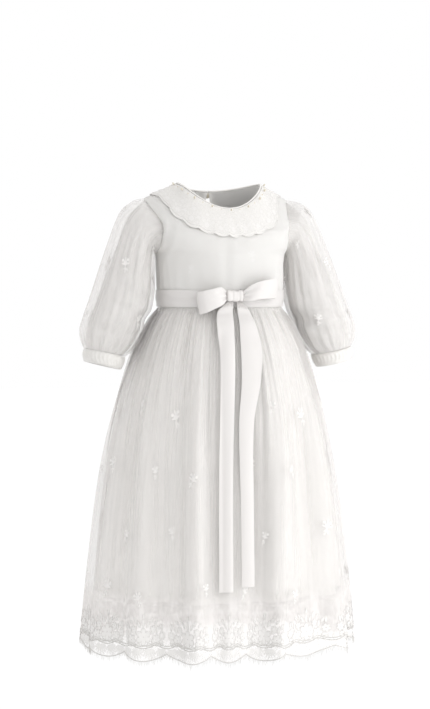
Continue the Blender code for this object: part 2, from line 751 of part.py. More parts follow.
def skirt_point(sections, turn, z, extra):
    """A point of a skirt layer, pushed out from its oval outline by folds and extra."""
    places = [-row.z for row in sections]
    half_width = column_of(sections, "half_width", places, -z)
    half_depth = column_of(sections, "half_depth", places, -z)
    middle_y = column_of(sections, "middle_y", places, -z)
    down = (OVERLAY_SECTIONS[0].z - z) / (OVERLAY_SECTIONS[0].z - OVERLAY_SECTIONS[-1].z)
    angle = math.radians(turn + drift(turn) * max(down, 0.0))
    out = Vector((math.sin(angle) / half_width, -math.cos(angle) / half_depth, 0)).normalized()
    base = Vector((half_width * math.sin(angle), middle_y - half_depth * math.cos(angle), z))
    return base + out * (fold_height(turn, z) + extra)


def gather_depth(z):
    """Depth of the small gathers: nothing in the seam, most a little below, none lower down."""
    below = OVERLAY_SECTIONS[0].z - z
    return GATHER_DEPTH * (0.22 + 0.78 * smooth(below / 0.016)) * smooth(1 - (below - 0.03) / 0.27)


def side_seams(last):
    """The seam axis of a skirt panel, whose first and last columns lie in its side seams."""
    def axis(i, j):
        return 1 if j in (0, last) else None
    return axis


def make_skirt(sheer, satin):
    """Front and back of the gathered tulle skirt, and front and back of its satin lining."""
    half = OVERLAY_COLUMNS // 2
    pieces = []
    for word, start in (("front", -90), ("back", 90)):
        rows = []
        for i, z in enumerate(OVERLAY_ROWS):
            row = []
            for j in range(half + 1):
                turn = start + 180 * j / half
                wave = 1 if j % 2 == 0 else -1
                lobe = abs(math.sin(0.5 * HEM_SCALLOPS * math.radians(turn - start)))
                lower = HEM_SCALLOP_DEPTH * lobe if i == len(OVERLAY_ROWS) - 1 else 0
                point = skirt_point(OVERLAY_SECTIONS, turn, z, wave * gather_depth(z))
                point.z -= lower
                if j in (0, half):
                    point.y += (-0.5 if word == "front" else 0.5) * SEAM_GAP
                row.append(point)
            rows.append(row)
        pieces.append(cloth(f"skirt_overlay_{word}", rows, False, TULLE, sheer, side_seams(half)))
    half = LINING_COLUMNS // 2
    for word, start in (("front", -90), ("back", 90)):
        rows = []
        for z in LINING_ROWS:
            row = []
            for j in range(half + 1):
                point = skirt_point(LINING_SECTIONS, start + 180 * j / half, z, 0.0)
                if j in (0, half):
                    point.y += (-0.5 if word == "front" else 0.5) * SEAM_GAP
                row.append(point)
            rows.append(row)
        pieces.append(cloth(f"skirt_lining_{word}", rows, False, TULLE, satin, side_seams(half)))
    return pieces


def waist_point(turn, z):
    """A point on the outside of the bodice between underarm and waist."""
    front = abs((turn + 180) % 360 - 180) <= 90
    levels = (FRONT_LEVELS if front else BACK_LEVELS)[2:]
    places = [-level.middle_z for level in levels]
    edge_x = column_of(levels, "edge_x", places, -z)
    edge_y = column_of(levels, "edge_y", places, -z)
    middle_y = column_of(levels, "middle_y", places, -z)
    angle = math.radians(turn)
    depth = abs(middle_y - edge_y)
    out = Vector((math.sin(angle) / edge_x, -math.cos(angle) / depth, 0)).normalized()
    return Vector((edge_x * math.sin(angle), edge_y - depth * math.cos(angle), z)), out


def make_sash(finish):
    """Satin ribbon round the waist, over the seam."""
    rows = []
    for z in (SASH_TOP, SASH_BOTTOM):
        lift = RIBBON + SASH_EASE
        row = []
        for j in range(SASH_COLUMNS):
            point, out = waist_point(360 * j / SASH_COLUMNS, z)
            row.append(point + out * lift)
        rows.append(row)
    return cloth("waist_sash", rows, True, RIBBON, finish)


def ribbon(name, stations, finish):
    """A strip of ribbon through stations of middle point, half-width vector and outward side."""
    rows = [[], [], []]
    for middle, half in stations:
        rows[0].append(middle + half)
        rows[1].append(middle)
        rows[2].append(middle - half)
    return cloth(name, rows, False, RIBBON, finish)


def loop_stations(table):
    """Stations of a bow loop from its table, relative to the knot."""
    places = list(range(len(table)))
    stations = []
    for i in range((len(table) - 1) * RIBBON_STEPS + 1):
        at = i / RIBBON_STEPS
        value = {name: column_of(table, name, places, at) for name in RibbonPoint._fields}
        lean = math.radians(value["twist"])
        half = Vector((math.sin(lean), 0, math.cos(lean))) * 0.5 * value["width"]
        stations.append((BOW_MIDDLE + Vector((value["x"], value["y"], value["z"])), half))
    return stations


def waist_turn(turn, z):
    """The waist turn of the cloth that lies at a turn at a height."""
    down = (OVERLAY_SECTIONS[0].z - z) / (OVERLAY_SECTIONS[0].z - OVERLAY_SECTIONS[-1].z)
    found = turn
    for _ in range(12):
        found = turn - drift(found) * max(down, 0.0)
    return found


def tail_stations(table):
    """Stations of a bow tail: it hangs on the front of the skirt, clear of its folds."""
    places = [-row.z for row in table]
    outline = [-row.z for row in OVERLAY_SECTIONS]
    stations = []
    for i in range(TAIL_STEPS + 1):
        down = (i / TAIL_STEPS) ** 1.6
        z = table[0].z + (table[-1].z - table[0].z) * down
        row = {name: column_of(table, name, places, -z) for name in Tail._fields[1:]}
        twist = math.radians(row["twist"])
        half = Vector((math.cos(twist), -math.sin(twist), 0)) * 0.5 * row["width"]
        under = min(z, OVERLAY_SECTIONS[0].z)
        degrees = math.degrees(half.x / column_of(OVERLAY_SECTIONS, "half_width", outline, -under))
        spun = waist_turn(row["turn"], under)
        middle = skirt_point(OVERLAY_SECTIONS, spun, under, 0.0)
        middle.z = z
        foremost = []
        for k in range(-4, 5):
            cloth_point = skirt_point(
                OVERLAY_SECTIONS, spun + degrees * k / 3, under, gather_depth(under) + 0.001)
            share = min(max(k / 3, -1), 1)
            foremost.append(cloth_point.y - share * half.y)
        hanging = min(foremost) - row["stand_off"]
        leaving = 1 - smooth(down / TAIL_DROP_SHARE)
        middle.y = min(hanging + (BOW_MIDDLE.y - hanging) * leaving, min(foremost) - RIBBON)
        stations.append((middle, half))
    return stations


def make_bow(finish):
    """Knot, two loops and two hanging tails at the front of the sash."""
    shape = bmesh.new()
    bmesh.ops.create_cube(shape, size=1.0)
    bmesh.ops.scale(shape, vec=KNOT_SIZE, verts=shape.verts)
    mesh = bpy.data.meshes.new("bow_knot")
    shape.to_mesh(mesh)
    shape.free()
    knot = bpy.data.objects.new("bow_knot", mesh)
    bpy.context.collection.objects.link(knot)
    knot.location = BOW_MIDDLE
    rounding = knot.modifiers.new("Rounding", "BEVEL")
    rounding.width = 0.0035
    rounding.segments = 3
    mesh.materials.append(finish)
    left = ribbon("bow_loop_left", list(reversed(loop_stations(LEFT_LOOP))), finish)
    right = ribbon("bow_loop_right", loop_stations(RIGHT_LOOP), finish)
    tails = []
    for name, table in (("bow_tail_left", LEFT_TAIL), ("bow_tail_right", RIGHT_TAIL)):
        stations = tail_stations(table)
        rows = [[middle - half, middle, middle + half] for middle, half in stations]
        tails.append(cloth(name, rows, False, RIBBON, finish))
    return [knot, left, right] + tails


def main():
    """Make every piece of the gown."""
    clear_scene()
    satin = material("white satin", (0.86, 0.86, 0.85), 0.42, 0.2)
    tulle = material("white embroidered tulle", (0.90, 0.90, 0.89), 0.75, 0.3)
    lace = material("white lace", (0.90, 0.90, 0.89), 0.80, 0.2)
    ribbon_satin = material("white satin ribbon", (0.88, 0.88, 0.88), 0.32, 0.2)
    pearl = material("ivory button", (0.84, 0.80, 0.72), 0.30)
    make_bodice(satin)
    tree = bodice_tree()
    make_collar(tree, lace)
    make_binding(satin)
    make_button(tree, pearl)
    for word, side in (("left", -1), ("right", 1)):
        make_sleeve(side, word, tulle, satin)
    make_skirt(tulle, satin)
    make_sash(ribbon_satin)
    make_bow(ribbon_satin)


main()
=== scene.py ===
"""Child's christening gown: the finish of its cloth, lace, ribbon and trim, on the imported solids.

Metres, +Z up. The front faces -Y, and left means -X. It runs as a script in Blender 4.5.
"""

import math
from collections import namedtuple

import bpy
import numpy as np
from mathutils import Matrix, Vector
from mathutils.bvhtree import BVHTree


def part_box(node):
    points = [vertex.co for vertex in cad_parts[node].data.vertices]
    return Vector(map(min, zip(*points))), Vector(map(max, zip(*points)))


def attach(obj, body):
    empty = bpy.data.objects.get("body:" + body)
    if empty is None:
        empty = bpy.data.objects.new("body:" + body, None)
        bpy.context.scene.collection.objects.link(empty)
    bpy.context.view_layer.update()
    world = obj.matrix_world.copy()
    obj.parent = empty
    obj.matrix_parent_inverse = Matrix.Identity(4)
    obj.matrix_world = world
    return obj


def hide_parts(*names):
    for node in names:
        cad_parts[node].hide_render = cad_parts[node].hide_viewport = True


bl_info = {
    "name": "Christening gown",
    "version": (1, 0, 0),
    "blender": (4, 5, 0),
    "location": "3D View > Sidebar > Gown",
    "description": "Satin, embroidered tulle, lace and ribbon of a child's christening gown",
    "category": "Object",
}

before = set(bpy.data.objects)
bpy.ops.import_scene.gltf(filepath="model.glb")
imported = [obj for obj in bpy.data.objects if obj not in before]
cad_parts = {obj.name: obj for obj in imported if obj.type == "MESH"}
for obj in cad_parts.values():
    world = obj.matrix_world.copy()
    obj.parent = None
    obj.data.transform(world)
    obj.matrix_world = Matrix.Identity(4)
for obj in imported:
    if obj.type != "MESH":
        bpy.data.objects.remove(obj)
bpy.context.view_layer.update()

# Neck opening: an ellipse seen from above, cut lower at the front than at the back
NECK_HALF_WIDTH = 0.068
NECK_HALF_DEPTH = 0.048
FRONT_NECK_DROP = 0.040
BACK_NECK_DROP = 0.010
NECK_SHARE = 0.5  # share of a bodice panel's columns that end at the neckline
SHOULDER_TIP = np.array([0.118, 0.013, -0.022])

# Slit at the centre back, closed at the nape by one button
SLIT_LENGTH = 0.085
SLIT_HALF_GAP = 0.0035

# Levels of the bodice, top to bottom. The edge is the armhole above the underarm, the side seam below
Level = namedtuple("Level", "middle_z edge_z edge_x edge_y middle_y segments")
FRONT_LEVELS = (
    Level(-0.074, -0.062, 0.1035, -0.031, -0.071, 3),
    Level(-0.100, -0.094, 0.1020, -0.026, -0.079, 2),
    Level(-0.112, -0.108, 0.1030, -0.004, -0.082, 1),
    Level(-0.152, -0.150, 0.1010, -0.006, -0.083, 2),
    Level(-0.190, -0.190, 0.0990, -0.006, -0.081, 2),
)
BACK_LEVELS = (
    Level(-0.070, -0.062, 0.1050, 0.037, 0.061, 3),
    Level(-0.098, -0.094, 0.1030, 0.022, 0.067, 2),
    Level(-0.112, -0.108, 0.1030, -0.004, 0.069, 1),
    Level(-0.152, -0.150, 0.1010, -0.006, 0.069, 2),
    Level(-0.190, -0.190, 0.0990, -0.006, 0.069, 2),
)
UNDERARM_LEVEL = 3  # counted from the top edge
BODICE_FLAT_WIDTH = 0.30  # a front or back panel laid flat

# Lace collar: the directions of its edge, seen from a point inside the chest
COLLAR_EYE = np.array([0.0, -0.002, -0.075])
COLLAR_SCALLOPS = 21
COLLAR_END_TURN = 173
COLLAR_FLAT_LENGTH = 0.56
COLLAR_FLAT_DEPTH = 0.058
COLLAR_CLEARANCE = 0.0014  # above the bodice
COLLAR_SCALLOP_SHARE = 0.06  # depth of its scallops, as a share of the collar's depth
COLLAR_WALL = 0.0005
CollarRow = namedtuple("CollarRow", "turn outer_rise")
COLLAR_EDGE = (
    CollarRow(0, -7),
    CollarRow(25, -4),
    CollarRow(40, 1),
    CollarRow(55, 8),
    CollarRow(68, 16),
    CollarRow(80, 24),
    CollarRow(92, 28.5),
    CollarRow(104, 26),
    CollarRow(120, 20),
    CollarRow(150, 16),
    CollarRow(180, 14),
)

# Sleeve outlines from armhole to cuff, for the +X side
Sleeve = namedtuple("Sleeve", "outer_x outer_z inner_x inner_z middle_y half_depth lining_gap")
SLEEVE_SECTIONS = (
    Sleeve(0.1370, -0.0260, 0.1052, -0.1100, 0.006, 0.0400, 0.0120),
    Sleeve(0.1525, -0.0390, 0.1056, -0.1140, 0.006, 0.0405, 0.014),
    Sleeve(0.1645, -0.0600, 0.1060, -0.1220, 0.005, 0.0400, 0.015),
    Sleeve(0.1750, -0.0840, 0.1062, -0.1330, 0.003, 0.0395, 0.015),
    Sleeve(0.1870, -0.1140, 0.1066, -0.1470, 0.000, 0.0400, 0.014),
    Sleeve(0.1990, -0.1470, 0.1080, -0.1670, -0.003, 0.0410, 0.012),
    Sleeve(0.2110, -0.1800, 0.1130, -0.1910, -0.005, 0.0420, 0.011),
    Sleeve(0.2200, -0.2030, 0.1220, -0.2150, -0.006, 0.0415, 0.010),
    Sleeve(0.2250, -0.2220, 0.1320, -0.2370, -0.006, 0.0395, 0.010),
    Sleeve(0.2235, -0.2380, 0.1430, -0.2530, -0.006, 0.0350, 0.007),
    Sleeve(0.2195, -0.2522, 0.1560, -0.2655, -0.006, 0.0300, 0.003),
)
CUFF_SECTIONS = (
    Sleeve(0.2195, -0.2527, 0.1560, -0.2662, -0.006, 0.0300, 0.0),
    Sleeve(0.2200, -0.2620, 0.1600, -0.2760, -0.007, 0.0290, 0.0),
    Sleeve(0.2195, -0.2720, 0.1640, -0.2855, -0.008, 0.0275, 0.0),
)
SLEEVE_GATHERS = 15
HEAD_GATHER_DEPTH = 0.0022
CUFF_GATHER_DEPTH = 0.0028
LINING_INNER_GAP = 0.0046
LINING_HEAD_GAP = 0.0035
SLEEVE_FLAT_WIDTH = 0.30
SLEEVE_FLAT_LENGTH = 0.26
SLEEVE_LINING_FLAT_WIDTH = 0.24
CUFF_FLAT_LENGTH = 0.17
CUFF_FLAT_STEP = 0.0105  # cloth from one row of the cuff's table to the next
CUFF_WALL = 0.0011

# Creases of a sleeve: turn from the outer side towards the front, and how far they lean round
Crease = namedtuple("Crease", "turn half_turn along half_along depth lean")
SLEEVE_CREASES = (
    Crease(150, 55, 0.68, 0.07, 0.0060, 0),
    Crease(115, 40, 0.56, 0.06, 0.0035, 0),
    Crease(60, 35, 0.78, 0.06, 0.0030, 0),
    Crease(250, 45, 0.66, 0.08, 0.0045, 0),
)
LEFT_CREASES = (
    Crease(95, 48, 0.62, 0.05, 0.0022, 260),
    Crease(70, 40, 0.50, 0.04, 0.0013, 320),
    Crease(130, 34, 0.79, 0.04, 0.0018, -200),
    Crease(84, 9, 0.40, 0.34, 0.0016, 40),
    Crease(118, 8, 0.30, 0.26, 0.0014, -30),
    Crease(50, 8, 0.32, 0.28, 0.0013, 20),
    Crease(22, 9, 0.44, 0.30, 0.0012, 30),
    Crease(215, 10, 0.38, 0.30, 0.0015, 20),
    Crease(262, 12, 0.48, 0.28, 0.0016, -40),
    Crease(305, 9, 0.36, 0.28, 0.0014, 30),
)
RIGHT_CREASES = (
    Crease(88, 44, 0.66, 0.05, 0.0026, -260),
    Crease(58, 38, 0.57, 0.04, 0.0016, -300),
    Crease(120, 36, 0.77, 0.04, 0.0018, 220),
    Crease(100, 9, 0.36, 0.30, 0.0017, -40),
    Crease(66, 8, 0.34, 0.28, 0.0014, 30),
    Crease(132, 8, 0.46, 0.26, 0.0013, 20),
    Crease(36, 9, 0.40, 0.30, 0.0012, -30),
    Crease(225, 10, 0.42, 0.30, 0.0015, -20),
    Crease(270, 12, 0.44, 0.28, 0.0016, 40),
    Crease(312, 9, 0.34, 0.28, 0.0014, -30),
)

# Skirt outlines from waist to hem
Section = namedtuple("Section", "z half_width half_depth middle_y")
OVERLAY_SECTIONS = (
    Section(-0.1905, 0.0990, 0.0750, -0.006),
    Section(-0.1980, 0.1030, 0.0790, -0.006),
    Section(-0.2100, 0.1110, 0.0870, -0.006),
    Section(-0.2260, 0.1195, 0.0950, -0.006),
    Section(-0.2570, 0.1345, 0.1090, -0.005),
    Section(-0.3000, 0.1500, 0.1230, -0.004),
    Section(-0.3500, 0.1650, 0.1360, -0.003),
    Section(-0.4130, 0.1790, 0.1470, -0.001),
    Section(-0.4910, 0.1915, 0.1570, 0.000),
    Section(-0.5690, 0.2015, 0.1650, 0.000),
    Section(-0.6470, 0.2100, 0.1710, 0.000),
    Section(-0.7060, 0.2155, 0.1755, 0.000),
)
LINING_SECTIONS = (
    Section(-0.1850, 0.0968, 0.0725, -0.006),
    Section(-0.1925, 0.0960, 0.0718, -0.006),
    Section(-0.2100, 0.1060, 0.0815, -0.006),
    Section(-0.2570, 0.1265, 0.1005, -0.005),
    Section(-0.3350, 0.1485, 0.1200, -0.003),
    Section(-0.4130, 0.1660, 0.1340, -0.001),
    Section(-0.4910, 0.1775, 0.1430, 0.000),
    Section(-0.5690, 0.1870, 0.1505, 0.000),
    Section(-0.6310, 0.1930, 0.1555, 0.000),
)
WAIST_Z = -0.1905
HEM_Z = -0.7060
LINING_TOP_Z = -0.1850
LINING_HEM_Z = -0.6310
SKIRT_GATHERS = 48
GATHER_DEPTH = 0.0030
HEM_SCALLOPS = 16
HEM_SCALLOP_DEPTH = 0.011
SKIRT_FLAT_WIDTH = 1.44  # all round

# Hanging folds of the skirt, by degrees from the front middle towards +X
Fold = namedtuple("Fold", "hem_turn waist_turn half_turn height")
SKIRT_FOLDS = (
    Fold(-165, -162, 12, 0.021),
    Fold(-137, -138, 14, 0.017),
    Fold(-107, -111, 13, 0.014),
    Fold(-77, -84, 15, 0.013),
    Fold(-50, -58, 12, 0.014),
    Fold(-22, -26, 14, 0.025),
    Fold(-9, -6, 16, 0.009),  # low, and carries the bow's tails
    Fold(10, 23, 15, 0.024),
    Fold(49, 53, 15, 0.020),
    Fold(83, 81, 14, 0.014),
    Fold(110, 108, 13, 0.019),
    Fold(137, 136, 13, 0.023),
    Fold(165, 167, 14, 0.016),
)
FOLDS_FULL_Z = -0.50
FOLD_SINK = 0.009
FOLD_SKEW = 0.26  # how far the folds lean, so that one flank is steeper

# Neck binding and nape button, the button's outline as radius and height over its middle
BINDING_HALF_THICKNESS = 0.0013
BINDING_HALF_HEIGHT = 0.0015
BINDING_RISE = 0.0012
BINDING_INSET = 0.0004
BUTTON_PROFILE = (
    (0.0, -0.0014), (0.0030, -0.0014), (0.0043, -0.0006), (0.0045, 0.0002), (0.0041, 0.0009),
    (0.0034, 0.0010), (0.0028, 0.0005), (0.0014, 0.0009), (0.0, 0.0012),
)

# Ribbon sash and bow
RIBBON_WALL = 0.0006
RIBBON_WIDTH = 0.029
SASH_TOP = -0.1635
SASH_BOTTOM = -0.1893
SASH_FLAT_LENGTH = 0.56
SASH_FLAT_DEPTH = 0.026
BOW_MIDDLE = np.array([-0.007, -0.0903, -0.1725])
KNOT_SIZE = np.array([0.026, 0.011, 0.017])
RIBBON_LIFT = 0.0020
RibbonPoint = namedtuple("RibbonPoint", "x y z width twist")
LEFT_LOOP = (
    RibbonPoint(-0.0133, -0.0012, 0.000, 0.0145, 0),
    RibbonPoint(-0.0230, -0.0080, 0.000, 0.0265, -6),
    RibbonPoint(-0.0360, -0.0100, -0.004, 0.030, -8),
    RibbonPoint(-0.0500, -0.0060, -0.009, 0.033, -8),
    RibbonPoint(-0.0565, 0.0040, -0.011, 0.034, -6),
    RibbonPoint(-0.0520, 0.0120, -0.010, 0.034, -4),
    RibbonPoint(-0.0380, 0.0075, -0.006, 0.030, -2),
    RibbonPoint(-0.0240, 0.0035, -0.003, 0.022, 0),
    RibbonPoint(-0.0133, 0.0018, 0.000, 0.0145, 0),
)
RIGHT_LOOP = (
    RibbonPoint(0.0133, -0.0012, 0.000, 0.0145, 0),
    RibbonPoint(0.0250, -0.0080, 0.005, 0.0255, 6),
    RibbonPoint(0.0400, -0.0100, 0.009, 0.028, 8),
    RibbonPoint(0.0600, -0.0040, 0.011, 0.030, 8),
    RibbonPoint(0.0730, 0.0090, 0.011, 0.030, 6),
    RibbonPoint(0.0700, 0.0185, 0.010, 0.030, 4),
    RibbonPoint(0.0530, 0.0135, 0.007, 0.027, 2),
    RibbonPoint(0.0330, 0.0060, 0.003, 0.021, 0),
    RibbonPoint(0.0133, 0.0018, 0.000, 0.0145, 0),
)
TAIL_TOP_Z = BOW_MIDDLE[2] - 0.5 * KNOT_SIZE[2] - 0.0003
TAIL_END_Z = -0.612
TAIL_DROP_SHARE = 0.10
TAIL_SINK = 0.009  # how far the soft ribbon sinks back onto the skirt
Tail = namedtuple("Tail", "z turn width twist stand_off")
LEFT_TAIL = (
    Tail(TAIL_TOP_Z, -8.4, 0.010, 0, 0.004),
    Tail(-0.1980, -12.7, 0.026, -6, 0.005),
    Tail(-0.2600, -11.9, 0.023, -8, 0.003),
    Tail(-0.3600, -13.0, 0.021, -8, 0.003),
    Tail(-0.4800, -13.5, 0.021, -8, 0.003),
    Tail(TAIL_END_Z, -13.6, 0.021, -8, 0.003),
)
RIGHT_TAIL = (
    Tail(TAIL_TOP_Z, 0.3, 0.008, 0, 0.004),
    Tail(-0.1980, 4.6, 0.021, -2, 0.005),
    Tail(-0.2500, 4.6, 0.034, -8, 0.003),
    Tail(-0.3000, 1.8, 0.030, -8, 0.003),
    Tail(-0.3600, -2.6, 0.023, -6, 0.003),
    Tail(-0.4800, -3.4, 0.020, -6, 0.003),
    Tail(TAIL_END_Z + 0.006, -4.0, 0.020, -6, 0.003),
)

# Embroidery: heights and gaps over the cloth in metres, and where its rows lie in cloth coordinates
SKIRT_SPRIG_TOP = -0.348
SLEEVE_SPRIG_TOP = -0.030
SLEEVE_SPRIG_DROP = 0.075
CUFF_STITCH_LINES = (-0.0022, -0.0190)
LINING_HEM_STITCHES = LINING_HEM_Z + 0.014
STITCH_HEIGHT = 0.0004
THREAD_LIFT = 0.0001
SEED_BEAD_SIZE = 0.42  # as a share of a pearl
SHADE_RIM_WIDTH = 0.9  # in millimetres, of the darker line round the hem's flowers, which is painted shade

# Embroidery, in millimetres and degrees from upright: a leaf grows from its foot, a flower round its eye
Bit = namedtuple("Bit", "kind x y turn length width")
SPRIG = (
    Bit("flower", 0, 2, 0, 3.6, 2.5),
    Bit("flower", -5.2, 7, 20, 2.5, 1.9),
    Bit("flower", 4.8, 7.5, 10, 2.5, 1.9),
    Bit("leaf", 0, 5, 0, 7.5, 2.0),
    Bit("leaf", -1.5, 4, -38, 6.5, 1.8),
    Bit("leaf", 1.5, 4, 34, 6.5, 1.8),
    Bit("leaf", -2, 1, -80, 6.0, 2.0),
    Bit("leaf", 2, 1, 76, 6.0, 2.0),
    Bit("leaf", 0, -1, 184, 12.0, 1.3),
    Bit("leaf", -0.6, -4, 222, 5.0, 2.0),
    Bit("leaf", 0.6, -5.5, 140, 5.0, 2.0),
    Bit("leaf", -0.6, -8.5, 215, 4.0, 1.8),
)
BORDER_MIDDLE = (
    Bit("flower", 0, 34, 0, 12.5, 7.0),
    Bit("flower", 0, 34, 30, 6.0, 3.2),
    Bit("leaf", 0, 48, 0, 12.0, 3.4),
    Bit("leaf", -6, 48, -24, 10.0, 3.0),
    Bit("leaf", 6, 48, 24, 10.0, 3.0),
    Bit("leaf", 0, 60, 8, 8.0, 2.6),
    Bit("leaf", -7, 24, 232, 9.0, 4.0),
    Bit("leaf", 7, 24, 128, 9.0, 4.0),
)
BORDER_HALF = (
    Bit("flower", 22, 29, 20, 8.0, 4.8),
    Bit("flower", 35, 36, 45, 6.0, 3.6),
    Bit("flower", 17, 45, 10, 5.0, 3.0),
    Bit("leaf", 14, 38, 40, 8.0, 3.2),
    Bit("leaf", 24, 39, 12, 10.0, 3.2),
    Bit("leaf", 29, 45, 30, 9.0, 2.8),
    Bit("leaf", 35, 44, 4, 9.0, 3.0),
    Bit("leaf", 12, 54, 30, 9.0, 2.8),
    Bit("leaf", 20, 53, 46, 7.0, 2.4),
    Bit("leaf", 29, 27, 96, 8.0, 3.4),
    Bit("leaf", 13, 22, 64, 8.0, 3.4),
    Bit("leaf", 23, 20, 30, 7.0, 3.0),
    Bit("leaf", 31, 21, 60, 7.0, 3.0),
    Bit("leaf", 4, 21, 90, 8.0, 2.6),
)
FAN = (
    Bit("leaf", 0, 0, 180, 17.0, 3.6),
    Bit("leaf", -1.6, 0, 194, 16.0, 3.4),
    Bit("leaf", 1.6, 0, 166, 16.0, 3.4),
    Bit("leaf", -3.0, 0, 209, 14.5, 3.2),
    Bit("leaf", 3.0, 0, 151, 14.5, 3.2),
    Bit("leaf", -4.4, 0.4, 226, 11.5, 2.8),
    Bit("leaf", 4.4, 0.4, 134, 11.5, 2.8),
)
COLLAR_MOTIF = (
    Bit("flower", 0, 12, 0, 5.0, 3.0),
    Bit("flower", 12, 20, 20, 3.8, 2.2),
    Bit("flower", -2, 33, 30, 4.0, 2.4),
    Bit("leaf", 6, 15, 40, 7.5, 2.2),
    Bit("leaf", -6, 15, -40, 7.5, 2.2),
    Bit("leaf", 5, 7, 120, 6.0, 2.0),
    Bit("leaf", -5, 7, -120, 6.0, 2.0),
    Bit("leaf", 0, 20, 4, 8.0, 2.0),
    Bit("leaf", 3, 37, 35, 6.0, 1.8),
    Bit("leaf", -6, 37, -35, 6.0, 1.8),
    Bit("leaf", 12, 26, 10, 7.0, 1.8),
    Bit("leaf", 11, 13, 170, 6.0, 1.8),
    Bit("leaf", 12, 42, -20, 5.0, 1.8),
)

# Camera: its sensor's height in millimetres and the picture's in pixels
SENSOR_HEIGHT = 24
PICTURE_HEIGHT = 709

FINISH_NAMES = {
    "satin": "woven polyester satin", "mounted": "satin under mounted tulle",
    "tulle": "knitted nylon tulle", "net": "cotton net of the collar",
    "thread": "satin-stitched rayon thread", "cord": "twisted cotton edge cord and painted shade rim",
    "ribbon": "double-faced satin ribbon",
    "pearl": "lacquered acrylic pearl", "gold": "gold-plated seed bead",
}


def linear(colour):
    """Linear RGB of an sRGB hex colour."""
    parts = [int(colour[i:i + 2], 16) / 255 for i in (0, 2, 4)]
    return tuple(p / 12.92 if p <= 0.04045 else ((p + 0.055) / 1.055) ** 2.4 for p in parts)


def smooth(value):
    """0 below 0, 1 above 1, and an even curve between."""
    value = np.clip(value, 0.0, 1.0)
    return value * value * (3.0 - 2.0 * value)


def hermite(values, places, at):
    """Smooth curve through values, or points, at growing places, read at any array of places."""
    values, places = np.asarray(values, float), np.asarray(places, float)
    at = np.clip(np.asarray(at, float), places[0], places[-1])
    last = len(places) - 1
    low, high = np.maximum(np.arange(last + 1) - 1, 0), np.minimum(np.arange(last + 1) + 1, last)
    run = places[high] - places[low]
    slopes = (values[high] - values[low]) / (run if values.ndim == 1 else run[:, None])
    i = np.clip(np.searchsorted(places, at, side="left") - 1, 0, last - 1)
    span = places[i + 1] - places[i]
    t = (at - places[i]) / span
    if values.ndim == 2:
        t, span = t[..., None], span[..., None]
    t2, t3 = t * t, t * t * t
    return (
        values[i] * (2 * t3 - 3 * t2 + 1)
        + slopes[i] * span * (t3 - 2 * t2 + t)
        + values[i + 1] * (3 * t2 - 2 * t3)
        + slopes[i + 1] * span * (t3 - t2)
    )


def column(rows, name, places, at):
    """One named column of a table, read between its rows."""
    return hermite([getattr(row, name) for row in rows], places, at)


def unit(vectors):
    """Vectors made one long."""
    return vectors / np.maximum(np.linalg.norm(vectors, axis=-1, keepdims=True), 1e-12)


def outward(grid, closed):
    """Outward directions of a grid whose rows run down and points run round from the front to +X."""
    if closed:
        along = np.roll(grid, -1, axis=1) - np.roll(grid, 1, axis=1)
    else:
        along = np.gradient(grid, axis=1)
    return unit(np.cross(np.gradient(grid, axis=0), along))


def grid_quads(rows, across, closed=False):
    """Faces between the points of a grid, open at its sides or closed round."""
    i, j = np.meshgrid(np.arange(rows - 1), np.arange(across if closed else across - 1), indexing="ij")
    i, j = i.ravel(), j.ravel()
    k = (j + 1) % across
    return np.stack([i * across + j, (i + 1) * across + j, (i + 1) * across + k, i * across + k], -1)


def round_faces(rings, sides):
    """Faces of a round body: an end point, rings of points, and a point at the other end."""
    last = 1 + (rings - 1) * sides
    faces = [(0, 1 + (j + 1) % sides, 1 + j) for j in range(sides)]
    faces += (1 + grid_quads(rings, sides, True)[:, [0, 3, 2, 1]]).tolist()
    return faces + [(last + sides, last + j, last + (j + 1) % sides) for j in range(sides)]


def new_mesh(name, points, faces, finish=None, sharp=None):
    """A smooth mesh, with hard edges where faces meet at more than sharp degrees."""
    mesh = bpy.data.meshes.new(name)
    mesh.from_pydata(np.array(points, float).tolist(), [], faces)
    if finish:
        mesh.materials.append(finish)
    mesh.shade_smooth()
    if sharp:
        mesh.set_sharp_from_angle(angle=math.radians(sharp))
    return mesh


def store_cloth(mesh, spread):
    """Keep cloth coordinates, a pair for each corner of each face, as the mesh's UV map."""
    mesh.uv_layers.new(name="Cloth").data.foreach_set("uv", spread.astype(np.float32).ravel())


def link(name, data):
    """A mesh, lamp or camera as an object of the scene."""
    piece = bpy.data.objects.new(name, data)
    bpy.context.scene.collection.objects.link(piece)
    return piece


def cloth_map(widths, heights):
    """Cloth coordinates, in metres, of a grid's columns and rows."""
    return np.stack(np.broadcast_arrays(widths, heights), -1)


def wall(name, grid, flat, closed, thickness, finish):
    """A thin closed shell of cloth on a grid, growing inwards, with its cloth coordinates as UV map."""
    rows, across = grid.shape[:2]
    total, wide = rows * across, flat.shape[1]
    inside = grid - outward(grid, closed) * thickness
    points = np.concatenate([grid.reshape(-1, 3), inside.reshape(-1, 3)])
    quads = grid_quads(rows, across, closed)
    corners = grid_quads(rows, wide)
    j = np.arange(across if closed else across - 1)
    k = (j + 1) % across
    last = total - across
    edges = [np.stack([j, k], -1), np.stack([last + k, last + j], -1)]
    if not closed:
        i = np.arange(rows - 1) * across
        edges += [np.stack([i + across, i], -1), np.stack([i, i + across], -1) + across - 1]
    edges = np.concatenate(edges)
    rim = np.concatenate([edges, edges[:, ::-1] + total], axis=1)
    faces = np.concatenate([quads, quads[:, ::-1] + total, rim])
    mesh = new_mesh(name, points, faces.tolist(), finish, 70)
    flat_points = flat.reshape(-1, 2)
    rim_flat = flat[:, :across].reshape(-1, 2)[rim % total]
    store_cloth(mesh, np.concatenate([flat_points[corners], flat_points[corners[:, ::-1]], rim_flat]))
    return link(name, mesh)


